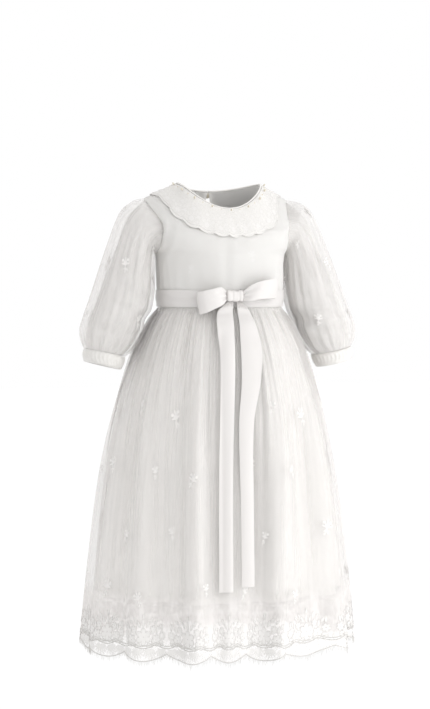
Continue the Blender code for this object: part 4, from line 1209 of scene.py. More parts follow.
def on_cloth(tree, cloth, lift):
    """Nodes that carry flat cloth coordinates, with height as Z, onto a cloth."""
    surface = add(tree, "GeometryNodeObjectInfo", {"Object": cloth})
    flat = add(tree, "GeometryNodeInputNamedAttribute", {"Name": "Cloth"}, data_type="FLOAT_VECTOR")
    here = add(tree, "GeometryNodeInputPosition")
    facing = add(tree, "GeometryNodeInputNormal")
    place = add(tree, "GeometryNodeSampleUVSurface", {
        0: surface.outputs["Geometry"], 1: here.outputs[0], 2: flat.outputs[0], 3: here.outputs[0],
    }, data_type="FLOAT_VECTOR")
    out = add(tree, "GeometryNodeSampleUVSurface", {
        0: surface.outputs["Geometry"], 1: facing.outputs[0], 2: flat.outputs[0], 3: here.outputs[0],
    }, data_type="FLOAT_VECTOR")
    height = add(tree, "ShaderNodeSeparateXYZ", {0: here.outputs[0]})
    raised = reckon(tree, "ADD", height.outputs["Z"], lift)
    push = add(tree, "ShaderNodeVectorMath", {0: out.outputs[0], "Scale": raised}, operation="SCALE")
    laid = add(tree, "ShaderNodeVectorMath", {0: place.outputs[0], 1: push.outputs[0]}, operation="ADD")
    return laid.outputs[0]


def new_tree(name, inputs):
    """A Geometry Nodes tree with a geometry input and output and named inputs."""
    tree = bpy.data.node_groups.new(name, "GeometryNodeTree")
    tree.interface.new_socket("Geometry", in_out="OUTPUT", socket_type="NodeSocketGeometry")
    tree.interface.new_socket("Geometry", in_out="INPUT", socket_type="NodeSocketGeometry")
    for label, kind in inputs:
        tree.interface.new_socket(label, in_out="INPUT", socket_type=kind)
    return tree, add(tree, "NodeGroupInput").outputs


def embroidery_tree():
    """Repeats a shape at flat points and lays every copy on a cloth."""
    tree, given = new_tree("Embroidery on cloth", (
        ("Shape", "NodeSocketObject"), ("Cloth", "NodeSocketObject"), ("Lift", "NodeSocketFloat"),
        ("Size jitter", "NodeSocketFloat"), ("Seed", "NodeSocketInt"), ("Finish", "NodeSocketMaterial"),
    ))
    shape = add(tree, "GeometryNodeObjectInfo", {"Object": given["Shape"]})
    spin = add(tree, "GeometryNodeInputNamedAttribute", {"Name": "spin"}, data_type="FLOAT")
    size = add(tree, "GeometryNodeInputNamedAttribute", {"Name": "size"}, data_type="FLOAT")
    turn = add(tree, "ShaderNodeCombineXYZ", {"Z": spin.outputs[0]})
    chance = add(tree, "FunctionNodeRandomValue", {
        2: reckon(tree, "SUBTRACT", 1.0, given["Size jitter"]),
        3: reckon(tree, "ADD", 1.0, given["Size jitter"]), "Seed": given["Seed"],
    }, data_type="FLOAT")
    copies = add(tree, "GeometryNodeInstanceOnPoints", {
        "Points": given["Geometry"], "Instance": shape.outputs["Geometry"], "Rotation": turn.outputs[0],
        "Scale": reckon(tree, "MULTIPLY", size.outputs[0], chance.outputs[1]),
    })
    real = add(tree, "GeometryNodeRealizeInstances", {0: copies.outputs[0]})
    laid = add(tree, "GeometryNodeSetPosition", {
        "Geometry": real.outputs[0], "Position": on_cloth(tree, given["Cloth"], given["Lift"]),
    })
    done = add(tree, "GeometryNodeSetMaterial", {"Geometry": laid.outputs[0], "Material": given["Finish"]})
    add(tree, "NodeGroupOutput", {0: done.outputs[0]})
    return tree


def cord_tree():
    """Lays flat lines on a cloth as thin round cords."""
    tree, given = new_tree("Cord on cloth", (
        ("Cloth", "NodeSocketObject"), ("Lift", "NodeSocketFloat"),
        ("Radius", "NodeSocketFloat"), ("Finish", "NodeSocketMaterial"),
    ))
    laid = add(tree, "GeometryNodeSetPosition", {
        "Geometry": given["Geometry"], "Position": on_cloth(tree, given["Cloth"], given["Lift"]),
    })
    line = add(tree, "GeometryNodeMeshToCurve", {0: laid.outputs[0]})
    round_one = add(tree, "GeometryNodeCurvePrimitiveCircle", {"Resolution": 6, "Radius": given["Radius"]})
    tube = add(tree, "GeometryNodeCurveToMesh", {
        "Curve": line.outputs[0], "Profile Curve": round_one.outputs[0], "Fill Caps": True,
    })
    soft = add(tree, "GeometryNodeSetShadeSmooth", {"Geometry": tube.outputs[0]})
    done = add(tree, "GeometryNodeSetMaterial", {"Geometry": soft.outputs[0], "Material": given["Finish"]})
    add(tree, "NodeGroupOutput", {0: done.outputs[0]})
    return tree


def plain_result(name, mesh, tree, values):
    """Run a tree on a mesh and keep the result as a plain mesh object."""
    maker = link(name + "_maker", mesh)
    modifier = maker.modifiers.new("Nodes", "NODES")
    modifier.node_group = tree
    for socket in tree.interface.items_tree:
        if socket.in_out == "INPUT" and socket.name in values:
            modifier[socket.identifier] = values[socket.name]
    graph = bpy.context.evaluated_depsgraph_get()
    result = bpy.data.meshes.new_from_object(maker.evaluated_get(graph), depsgraph=graph)
    bpy.data.objects.remove(maker, do_unlink=True)
    result.name = name
    return link(name, result)


def embroider(name, shape, cloth, rows, lift, finish, jitter=0.0, seed=1):
    """Repeat a shape on a cloth; rows are (across, up, spin in degrees, size)."""
    rows = np.array(rows, float)
    mesh = bpy.data.meshes.new(name)
    flat = np.concatenate([rows[:, :2], np.zeros((len(rows), 1))], axis=1)
    mesh.from_pydata(flat.tolist(), [], [])
    mesh.attributes.new("spin", "FLOAT", "POINT").data.foreach_set("value", np.radians(rows[:, 2]))
    mesh.attributes.new("size", "FLOAT", "POINT").data.foreach_set("value", rows[:, 3])
    tree = bpy.data.node_groups.get("Embroidery on cloth") or embroidery_tree()
    return plain_result(name, mesh, tree, {
        "Shape": shape, "Cloth": cloth, "Lift": lift, "Size jitter": jitter, "Seed": seed, "Finish": finish,
    })


def lay_cords(name, cloth, lines, lift, radius, finish):
    """Thin cords along flat lines on a cloth; each line is an array of flat points."""
    points, edges = [], []
    for line in lines:
        start = len(points)
        points += [(float(x), float(y), 0.0) for x, y in line]
        edges += [(start + k, start + k + 1) for k in range(len(line) - 1)]
    mesh = bpy.data.meshes.new(name)
    mesh.from_pydata(points, edges, [])
    tree = bpy.data.node_groups.get("Cord on cloth") or cord_tree()
    return plain_result(name, mesh, tree, {
        "Cloth": cloth, "Lift": lift, "Radius": radius, "Finish": finish,
    })


def join(name, pieces):
    """Pieces of like kind made one object."""
    meshes = [piece.data for piece in pieces]
    points, faces, finishes, picks = [], [], [], []
    for mesh in meshes:
        start = len(points)
        points += [tuple(vertex.co) for vertex in mesh.vertices]
        for finish in mesh.materials:
            if finish not in finishes:
                finishes.append(finish)
        for face in mesh.polygons:
            faces.append(tuple(start + v for v in face.vertices))
            picks.append(finishes.index(mesh.materials[face.material_index]))
    whole = bpy.data.meshes.new(name)
    whole.from_pydata(points, [], faces)
    for finish in finishes:
        whole.materials.append(finish)
    whole.polygons.foreach_set("material_index", picks)
    whole.shade_smooth()
    whole.set_sharp_from_angle(angle=math.radians(70))
    for piece in pieces:
        bpy.data.objects.remove(piece, do_unlink=True)
    return link(name, whole)


def discard(*helpers):
    """Remove guides and pattern shapes."""
    for helper in helpers:
        bpy.data.objects.remove(helper, do_unlink=True)


def nape_button(tree, finish):
    """The button's mesh: a shallow dome, facing out of the bodice where its solid lies."""
    low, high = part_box("nape_button")
    centre = 0.5 * (np.array(low) + np.array(high))
    normal = tree.ray_cast(Vector((0.004, 0.3, centre[2])), Vector((0, -1, 0)))[1]
    facing = unit(np.array([0, normal.y, normal.z]))
    aside = np.array([1.0, 0, 0])
    up = np.cross(facing, aside)
    sides = 24
    points = [centre + facing * BUTTON_PROFILE[0][1]]
    for radius, height in BUTTON_PROFILE[1:-1]:
        for j in range(sides):
            turn = 2 * math.pi * j / sides
            points.append(
                centre + facing * height + radius * (aside * math.cos(turn) + up * math.sin(turn)))
    points.append(centre + facing * BUTTON_PROFILE[-1][1])
    faces = round_faces(len(BUTTON_PROFILE) - 2, sides)
    return new_mesh("nape_button_pearl", points, faces, finish)


def knot_points():
    """The bow's knot, a rounded box creased round and pinched at its ends, and its cloth coordinates."""
    across = np.linspace(-1, 1, 41)
    turns = np.radians(np.arange(48) * 7.5)
    squareness = 3.2
    points = []
    for x in across:
        for turn in turns:
            flare = 1 - 0.06 * np.cos(np.pi * x)
            crease = 1 + 0.055 * math.cos(7.5 * x + 0.5 * math.sin(turn)) + 0.03 * math.cos(15 * x + 2)
            pinch = math.sqrt(max(1 - abs(x) ** 5, 0.0)) * 0.32 + 0.68
            size = flare * crease * pinch
            box = abs(math.cos(turn)) ** squareness + abs(math.sin(turn)) ** squareness
            box = box ** (-1 / squareness)
            y = 0.5 * KNOT_SIZE[1] * 0.96 * size * box * math.cos(turn)
            high = 0.5 * KNOT_SIZE[2] * 0.98 * size * box * math.sin(turn)
            sag = 0.0010 * (x ** 2 - 0.4)
            points.append(BOW_MIDDLE + np.array([0.5 * KNOT_SIZE[0] * x, y, high + sag]))
    flat = np.stack([
        np.tile(turns * 0.5 * KNOT_SIZE[2], len(across)),
        np.repeat(across * 0.5 * KNOT_SIZE[0], len(turns)),
    ], -1)
    return points, flat, len(turns)


# Add-on


class GownSizes(bpy.types.PropertyGroup):
    """Sizes of the gown's cloth and trim."""

    satin_wall: bpy.props.FloatProperty(
        name="Satin", description="Thickness of the satin", default=0.0006, min=0.0003, max=0.0013,
        subtype="DISTANCE", unit="LENGTH")
    tulle_wall: bpy.props.FloatProperty(
        name="Tulle", description="Thickness of the tulle", default=0.0004, min=0.0002, max=0.001,
        subtype="DISTANCE", unit="LENGTH")
    net_pitch: bpy.props.FloatProperty(
        name="Net pitch", description="Distance between the holes of the net", default=0.0013,
        min=0.0008, max=0.004, subtype="DISTANCE", unit="LENGTH")
    hole_cover: bpy.props.FloatProperty(
        name="Hole cover", description="How much of what is behind the net's holes hide", default=0.04,
        min=0, max=1, subtype="FACTOR")
    thread_cover: bpy.props.FloatProperty(
        name="Thread cover", description="How much of what is behind the net's threads hide", default=0.34,
        min=0, max=1, subtype="FACTOR")
    sprig_columns: bpy.props.IntProperty(
        name="Sprigs round", description="Sprigs in one row round the skirt", default=13, min=4, max=40)
    sprig_drop: bpy.props.FloatProperty(
        name="Sprig rows", description="Distance between rows of sprigs", default=0.089, min=0.03, max=0.2,
        subtype="DISTANCE", unit="LENGTH")
    lash_length: bpy.props.FloatProperty(
        name="Lashes", description="Length of the lashes on the hem's edge", default=0.0075, min=0.001,
        max=0.012, subtype="DISTANCE", unit="LENGTH")
    lash_spacing: bpy.props.FloatProperty(
        name="Lash spacing", description="Distance between lashes", default=0.0020, min=0.001, max=0.01,
        subtype="DISTANCE", unit="LENGTH")
    bead_radius: bpy.props.FloatProperty(
        name="Beads", description="Radius of a pearl", default=0.0023, min=0.0008, max=0.004,
        subtype="DISTANCE", unit="LENGTH")
    stitch_pitch: bpy.props.FloatProperty(
        name="Stitches", description="Distance from stitch to stitch", default=0.0034, min=0.002, max=0.008,
        subtype="DISTANCE", unit="LENGTH")


class GownColours(bpy.types.PropertyGroup):
    """Colours of the gown's cloth and trim."""

    satin: bpy.props.FloatVectorProperty(
        name="Satin", description="Linings and cuffs", subtype="COLOR", default=linear("dedcd9"))
    mounted: bpy.props.FloatVectorProperty(
        name="Bodice", description="Satin under tulle", subtype="COLOR", default=linear("d7d5d2"))
    tulle: bpy.props.FloatVectorProperty(
        name="Tulle", description="Overlay and sleeves", subtype="COLOR", default=linear("e8e5e3"))
    lace: bpy.props.FloatVectorProperty(
        name="Lace", description="Net of the collar", subtype="COLOR", default=linear("e5e3e0"))
    thread: bpy.props.FloatVectorProperty(
        name="Thread", description="Embroidery", subtype="COLOR", default=linear("dbd9d7"))
    # The cord's darker colour also paints the shade of the rims round the hem's flowers
    cord: bpy.props.FloatVectorProperty(
        name="Cord", description="Edge cords, lashes and rims", subtype="COLOR", default=linear("c4c2bf"))
    ribbon: bpy.props.FloatVectorProperty(
        name="Ribbon", description="Sash and bow", subtype="COLOR", default=linear("d2cfcd"))
    pearl: bpy.props.FloatVectorProperty(
        name="Pearl", description="Beads and button", subtype="COLOR", default=linear("dcd6c9"))
    pearl_shade: bpy.props.FloatVectorProperty(
        name="Pearl shade", description="Clouding of the pearls", subtype="COLOR", default=linear("bdb39c"))
    gold: bpy.props.FloatVectorProperty(
        name="Gold", description="Seed beads between the pearls", subtype="COLOR", default=linear("d9cdb4"))


def finishes():
    """The gown's materials, made once."""
    if FINISH_NAMES["satin"] not in bpy.data.materials:
        make_finishes(bpy.context.scene.gown_colours, bpy.context.scene.gown_sizes)
    return {key: bpy.data.materials[name] for key, name in FINISH_NAMES.items()}


class GOWN_OT_bodice(bpy.types.Operator):
    """Make the bodice of satin with tulle mounted on it, and its sprigs"""

    bl_idname = "gown.bodice"
    bl_label = "Bodice"

    def execute(self, context):
        sizes, finish = context.scene.gown_sizes, finishes()
        shares = np.linspace(-1, 1, 121)
        grid = bodice_grid(shares, True, 6)
        grid += outward(grid, False) * bodice_ease(shares[None, :], grid, True)[..., None]
        flat = cloth_map(0.5 * BODICE_FLAT_WIDTH * shares[None, :], grid[..., 2])
        piece = wall("bodice_front_cloth", grid, flat, False, sizes.satin_wall, finish["mounted"])
        settle(piece, "satin", "bodice_front")

        shape = motif("sprig_shape", SPRIG, STITCH_HEIGHT)
        sprigs = embroider("bodice_sprigs", shape, guide("bodice_guide", grid, flat), (
            (0.024, -0.112, 14, 0.8), (-0.070, -0.132, -18, 0.6), (0.092, -0.130, 20, 0.6)),
            THREAD_LIFT, finish["thread"])
        settle(sprigs, "lace")
        discard(shape, bpy.data.objects["bodice_guide"])

        for word, side in (("right", 1), ("left", -1)):
            shares = np.linspace(1, 0, 61) if side > 0 else np.linspace(0, -1, 61)
            grid = bodice_grid(shares, False, 6)
            grid += outward(grid, False) * bodice_ease(shares[None, :], grid, False)[..., None]
            middle = -1 if side > 0 else 0
            opening = slit_gap(grid[:, middle, 2])[:, None]
            squeeze = np.clip(1 - np.abs(grid[..., 0]) / 0.03, 0, 1)
            grid[..., 0] = grid[..., 0] + side * opening * squeeze
            flat = cloth_map(0.5 * BODICE_FLAT_WIDTH * shares[None, :], grid[..., 2])
            piece = wall(f"bodice_back_{word}_cloth", grid, flat, False, sizes.satin_wall, finish["mounted"])
            settle(piece, "satin", f"bodice_back_{word}")
        return {"FINISHED"}


class GOWN_OT_collar(bpy.types.Operator):
    """Make the lace collar, with its motifs and scalloped edge cords"""

    bl_idname = "gown.collar"
    bl_label = "Collar"

    def execute(self, context):
        finish = finishes()
        tree = bodice_tree()
        columns, rows = 378, 24
        across = np.linspace(0, 1, columns + 1)[None, :]
        down = np.linspace(0, 1, rows + 1)[:, None]
        grid = collar_grid(tree, columns, rows)
        flat = cloth_map(COLLAR_FLAT_LENGTH * (across - 0.5), -COLLAR_FLAT_DEPTH * collar_share(across, down))
        piece = wall("collar_lace", grid, flat, False, COLLAR_WALL, finish["net"])
        settle(piece, "lace", "lace_collar")

        cloth = guide("collar_guide", grid, flat)
        step = COLLAR_FLAT_LENGTH / COLLAR_SCALLOPS
        spots = [
            (-0.5 * COLLAR_FLAT_LENGTH + step * (k + 0.5) - 0.0020, -COLLAR_FLAT_DEPTH + 0.002, 0, 0.93)
            for k in range(COLLAR_SCALLOPS)
        ]
        shape = motif("collar_shape", COLLAR_MOTIF, 0.00018)
        motifs = embroider("collar_motifs", shape, cloth, spots, THREAD_LIFT, finish["thread"])
        line = np.linspace(0.001, 0.999, 12 * COLLAR_SCALLOPS + 1)
        lobes = np.abs(np.sin(np.pi * COLLAR_SCALLOPS * line))
        depth = -COLLAR_FLAT_DEPTH * (0.985 - COLLAR_SCALLOP_SHARE * (1 - lobes))
        edge = np.stack([COLLAR_FLAT_LENGTH * (line - 0.5), depth], -1)
        inner_edge = edge + np.array([0, 0.0042])
        cords = lay_cords("collar_cords", cloth, (edge, inner_edge), THREAD_LIFT, 0.0005, finish["thread"])
        trim = join("collar_embroidery", [motifs, cords])
        settle(trim, "lace")
        discard(shape, cloth)
        return {"FINISHED"}


class GOWN_OT_neck(bpy.types.Operator):
    """Make the neck binding, the beads on the collar and the button at the nape"""

    bl_idname = "gown.neck"
    bl_label = "Neck and button"

    def execute(self, context):
        sizes, finish = context.scene.gown_sizes, finishes()
        turns = np.linspace(-90, 90, 91)
        front = [neck_point(turn, True) for turn in turns]
        back = [neck_point(turn, False) for turn in np.linspace(90, 0, 46)]
        back[-1][0] = 0.0002
        left = [point * np.array([-1, 1, 1]) for point in back[::-1]]
        path = np.array(left[:-1] + front + back[1:])
        out = unit(path * np.array([NECK_HALF_WIDTH ** -2, NECK_HALF_DEPTH ** -2, 0]))
        around = np.radians(np.linspace(90, -270, 13)[:-1])
        middle = path + np.array([0, 0, BINDING_RISE]) - out * BINDING_INSET
        grid = np.array([
            middle + out * BINDING_HALF_THICKNESS * math.cos(angle)
            + np.array([0, 0, BINDING_HALF_HEIGHT * math.sin(angle)])
            for angle in around
        ])
        length = run_along(path)
        sides = len(around)
        flat = np.stack([np.repeat(length, sides), np.tile(np.arange(sides) * 0.0012, len(path))], -1)
        points = grid.transpose(1, 0, 2).reshape(-1, 3)
        binding = tube("neck_binding_cloth", points, sides, flat, finish["satin"])
        settle(binding, "satin", "neck_binding")

        tree = bodice_tree()
        grid = collar_grid(tree, 180, 10)
        across, down = np.linspace(-0.5, 0.5, 181)[None, :], np.linspace(0, 1, 11)[:, None]
        cloth = guide("neck_guide", grid, cloth_map(COLLAR_FLAT_LENGTH * across, -COLLAR_FLAT_DEPTH * down))
        pearls, seeds = [], []
        for k in range(-9, 10):
            edge = neck_point(11 * k, True) - COLLAR_EYE
            turn = math.degrees(math.atan2(edge[0], -edge[1]))
            x = COLLAR_FLAT_LENGTH * turn / (2 * COLLAR_END_TURN)
            if k % 2:
                seeds.append((x, -0.0062, 0, SEED_BEAD_SIZE))
            else:
                pearls.append((x, -0.0066, 0, 1.0))
        bead = bead_shape("bead_shape", sizes.bead_radius)
        pearl = embroider("neck_pearls", bead, cloth, pearls, 0.0004, finish["pearl"])
        seed = embroider("neck_seed_beads", bead, cloth, seeds, 0.0004, finish["gold"])
        settle(join("neck_beads", [pearl, seed]), "button")
        discard(bead, cloth)

        button = nape_button(tree, finish["pearl"])
        settle(link("nape_button_pearl", button), "button", "nape_button")
        return {"FINISHED"}


class GOWN_OT_sleeves(bpy.types.Operator):
    """Make the tulle sleeves, their satin linings, the cuffs and their stitches"""

    bl_idname = "gown.sleeves"
    bl_label = "Sleeves and cuffs"

    def execute(self, context):
        sizes, finish = context.scene.gown_sizes, finishes()
        for word, side in (("left", -1), ("right", 1)):
            count = 180
            turns = ring_turns(count)
            at = np.linspace(0, 10, 91)
            grid = turned(sleeve_grid(side, turns, at, 0.0, 0.0), side)
            heights = sleeve_heights(at)
            flat = cloth_map(np.linspace(0, SLEEVE_FLAT_WIDTH, count + 1)[None, :], heights)
            piece = wall(f"sleeve_{word}_tulle", grid, flat, True, sizes.tulle_wall, finish["tulle"])
            settle(piece, "tulle", f"sleeve_{word}")

            extended = np.arange(-12, count + 13) * 360 / count
            surface = sleeve_grid(side, extended if side < 0 else -extended, at, 0.0, 0.0)
            spread = cloth_map((extended * SLEEVE_FLAT_WIDTH / 360)[None, :], heights)
            cloth = guide("sleeve_guide", surface, spread)
            shape = motif("sprig_shape", SPRIG, STITCH_HEIGHT)
            rows = []
            for row in range(3):
                for k in range(3):
                    x = SLEEVE_FLAT_WIDTH * ((k + 0.5 * (row % 2) + 0.05) / 3)
                    y = SLEEVE_SPRIG_TOP - SLEEVE_SPRIG_DROP * row
                    rows.append((x, y, 20 * math.sin(3 * k + 2 * row), 0.85))
            sprigs = embroider(
                f"sleeve_{word}_sprigs", shape, cloth, rows, THREAD_LIFT, finish["thread"],
                jitter=0.08, seed=3)
            settle(sprigs, "lace")
            discard(shape, cloth)

            at = np.linspace(0, 10, 61)
            grid = turned(sleeve_grid(side, ring_turns(96), at, 1.0, LINING_HEAD_GAP), side)
            flat = cloth_map(np.linspace(0, SLEEVE_LINING_FLAT_WIDTH, 97)[None, :], sleeve_heights(at))
            piece = wall(f"sleeve_lining_{word}_satin", grid, flat, True, sizes.tulle_wall, finish["satin"])
            settle(piece, "satin", f"sleeve_lining_{word}")

            count = 192
            turns = ring_turns(count)
            at = np.array([0, 0.05, 0.15, 0.3, 0.5, 0.75, 1.0, 1.25, 1.5, 1.7, 1.85, 1.95, 2.0])

            def swell(place, around):
                middle = 0.0014 * np.sin(0.5 * np.pi * np.clip(place, 0, 2)) ** 0.6
                wrinkle = 0.0006 * np.cos(2 * np.pi * (31 * around / 360 + 0.5 * np.sin(2 * place)))
                edge = 0.0004 * (smooth((place - 1.75) / 0.12) - smooth((place - 1.92) / 0.08))
                return middle + wrinkle * np.sin(0.5 * np.pi * place) + edge

            grid = turned(sleeve_rings(CUFF_SECTIONS, at, turns, side, 0.0, swell), side)
            heights = -CUFF_FLAT_STEP * at[:, None]
            flat = cloth_map(np.linspace(0, CUFF_FLAT_LENGTH, count + 1)[None, :], heights)
            piece = wall(f"cuff_{word}_satin", grid, flat, True, CUFF_WALL, finish["mounted"])
            settle(piece, "satin", f"cuff_{word}")

            extended = np.arange(-4, count + 5) * 360 / count
            surface = sleeve_rings(CUFF_SECTIONS, at, extended if side < 0 else -extended, side, 0.0, swell)
            spread = cloth_map((extended * CUFF_FLAT_LENGTH / 360)[None, :], heights)
            cloth = guide("cuff_guide", surface, spread)
            stitch = thread_shape("stitch_shape", 0.0022, 0.00022, 0.0003, False)
            steps = int(CUFF_FLAT_LENGTH / sizes.stitch_pitch)
            rows = [
                (CUFF_FLAT_LENGTH * k / steps, y, 90, 1.0) for k in range(steps) for y in CUFF_STITCH_LINES
            ]
            stitches = embroider(
                f"cuff_{word}_stitches", stitch, cloth, rows, 0.0, finish["thread"], jitter=0.06, seed=5)
            settle(stitches, "satin")
            discard(stitch, cloth)
        return {"FINISHED"}


class GOWN_OT_skirt(bpy.types.Operator):
    """Make the tulle overlay of the skirt, and its satin lining with a stitched hem"""

    bl_idname = "gown.skirt"
    bl_label = "Skirt"

    def execute(self, context):
        sizes, finish = context.scene.gown_sizes, finishes()
        for word, start in (("front", -90), ("back", 90)):
            turns = np.linspace(start, start + 180, 401)[None, :]
            z = np.concatenate([
                np.linspace(WAIST_Z, -0.24, 22, endpoint=False),
                np.linspace(-0.24, -0.40, 26, endpoint=False),
                np.linspace(-0.40, -0.64, 30, endpoint=False),
                np.linspace(-0.64, HEM_Z, 20),
            ])[:, None]
            z = z - hem_drop(turns, z)
            piece = skirt_wall(
                f"skirt_overlay_{word}_tulle", overlay_points, turns, z, sizes.tulle_wall, finish["tulle"])
            settle(piece, "tulle", f"skirt_overlay_{word}")

            turns = np.linspace(start, start + 180, 241)[None, :]
            z = np.concatenate([
                np.linspace(LINING_TOP_Z, -0.25, 14, endpoint=False),
                np.linspace(-0.25, LINING_HEM_Z, 50),
            ])[:, None]
            piece = skirt_wall(
                f"skirt_lining_{word}_satin", lining_points, turns, z, sizes.satin_wall, finish["satin"])
            settle(piece, "satin", f"skirt_lining_{word}")

        turns = np.linspace(-190, 190, 381)[None, :]
        z = np.linspace(LINING_HEM_Z + 0.03, LINING_HEM_Z, 5)[:, None]
        cloth = skirt_guide("lining_guide", lining_points, turns, z)
        stitch = thread_shape("stitch_shape", 0.0024, 0.00025, 0.0003, False)
        steps = int(SKIRT_FLAT_WIDTH / (1.5 * sizes.stitch_pitch))
        rows = [(SKIRT_FLAT_WIDTH * (k / steps - 0.5), LINING_HEM_STITCHES, 90, 1.0) for k in range(steps)]
        stitches = embroider(
            "lining_hem_stitches", stitch, cloth, rows, 0.0, finish["thread"], jitter=0.06, seed=7)
        settle(stitches, "satin")
        discard(stitch, cloth)
        return {"FINISHED"}


class GOWN_OT_embroidery(bpy.types.Operator):
    """Make the skirt's sprigs, and the flowered border with its fans, cords and lashes"""

    bl_idname = "gown.embroidery"
    bl_label = "Skirt embroidery"

    def execute(self, context):
        sizes, finish = context.scene.gown_sizes, finishes()
        turns = np.linspace(-200, 200, 801)[None, :]
        z = np.linspace(-0.22, -0.735, 140)[:, None]
        cloth = skirt_guide("overlay_guide", overlay_points, turns, z)
        width = SKIRT_FLAT_WIDTH

        shape = motif("sprig_shape", SPRIG, STITCH_HEIGHT)
        rows = []
        for row in range(4):
            for k in range(sizes.sprig_columns):
                share = (k + 0.5 * (row % 2) + 0.12 * math.sin(3.7 * k + 5 * row)) / sizes.sprig_columns
                y = SKIRT_SPRIG_TOP - sizes.sprig_drop * row + 0.010 * math.sin(2.1 * k + row)
                spin, size = 24 * math.sin(1.7 * k + 2.3 * row), 1.0 + 0.15 * math.sin(4.1 * k + row)
                rows.append((width * (share - 0.5), y, spin, size))
        sprigs = embroider(
            "skirt_sprigs", shape, cloth, rows, THREAD_LIFT, finish["thread"], jitter=0.10, seed=11)
        settle(sprigs, "lace")
        discard(shape)

        shape = motif("border_shape", BORDER_MIDDLE, STITCH_HEIGHT, BORDER_HALF)
        step = width / HEM_SCALLOPS
        rows = [(step * (k + 0.5) - 0.5 * width, HEM_Z - 0.008, 0, 1.0) for k in range(HEM_SCALLOPS)]
        border = embroider("hem_border", shape, cloth, rows, 0.0002, finish["thread"])
        # Rims in the darker cord colour, a little larger than the flowers and laid under them: painted shade
        # round the raised flowers
        rim = motif("rim_shape", shade_rimmed(BORDER_MIDDLE, SHADE_RIM_WIDTH), 0.0002, shade_rimmed(BORDER_HALF, SHADE_RIM_WIDTH))
        shade_rims = embroider("hem_border_rims", rim, cloth, rows, THREAD_LIFT, finish["cord"])
        discard(shape, rim)

        across = np.linspace(-0.5 * width, 0.5 * width, HEM_SCALLOPS * 20 + 1)
        edge = np.stack([across, HEM_Z - HEM_SCALLOP_DEPTH * hem_lobes(360 * across / width) + 0.0008], -1)
        festoon = np.abs(np.cos(2 * np.pi * across / step))
        low = np.stack([across, HEM_Z + 0.0145 - 0.0055 * festoon], -1)
        high = low + np.array([0, 0.0034])
        cords = lay_cords("hem_cords", cloth, (edge, low, high), 0.0002, 0.0007, finish["cord"])
        fans = motif("fan_shape", FAN, 0.0005)
        rows = [
            (0.25 * step * (k + 0.5) - 0.5 * width, HEM_Z + 0.0085, 8 * math.sin(2.2 * k), 1.0)
            for k in range(4 * HEM_SCALLOPS)
        ]
        fan_row = embroider(
            "hem_fans", fans, cloth, rows, THREAD_LIFT, finish["thread"], jitter=0.08, seed=17)

        lash = thread_shape("lash_shape", sizes.lash_length, 0.00028, 0.0003, True)
        count = int(width / sizes.lash_spacing)
        at = (np.arange(count) + 0.5) / count * width - 0.5 * width
        rows = [
            (x, HEM_Z - HEM_SCALLOP_DEPTH * lobe + 0.0004, 180 + 12 * math.sin(5.3 * k), 1.0)
            for k, (x, lobe) in enumerate(zip(at, hem_lobes(360 * at / width)))
        ]
        lashes = embroider("hem_lashes", lash, cloth, rows, 0.0, finish["cord"], jitter=0.3, seed=13)
        settle(join("hem_lace_border", [border, shade_rims, cords, fan_row, lashes]), "lace")
        discard(lash, fans, cloth)
        return {"FINISHED"}


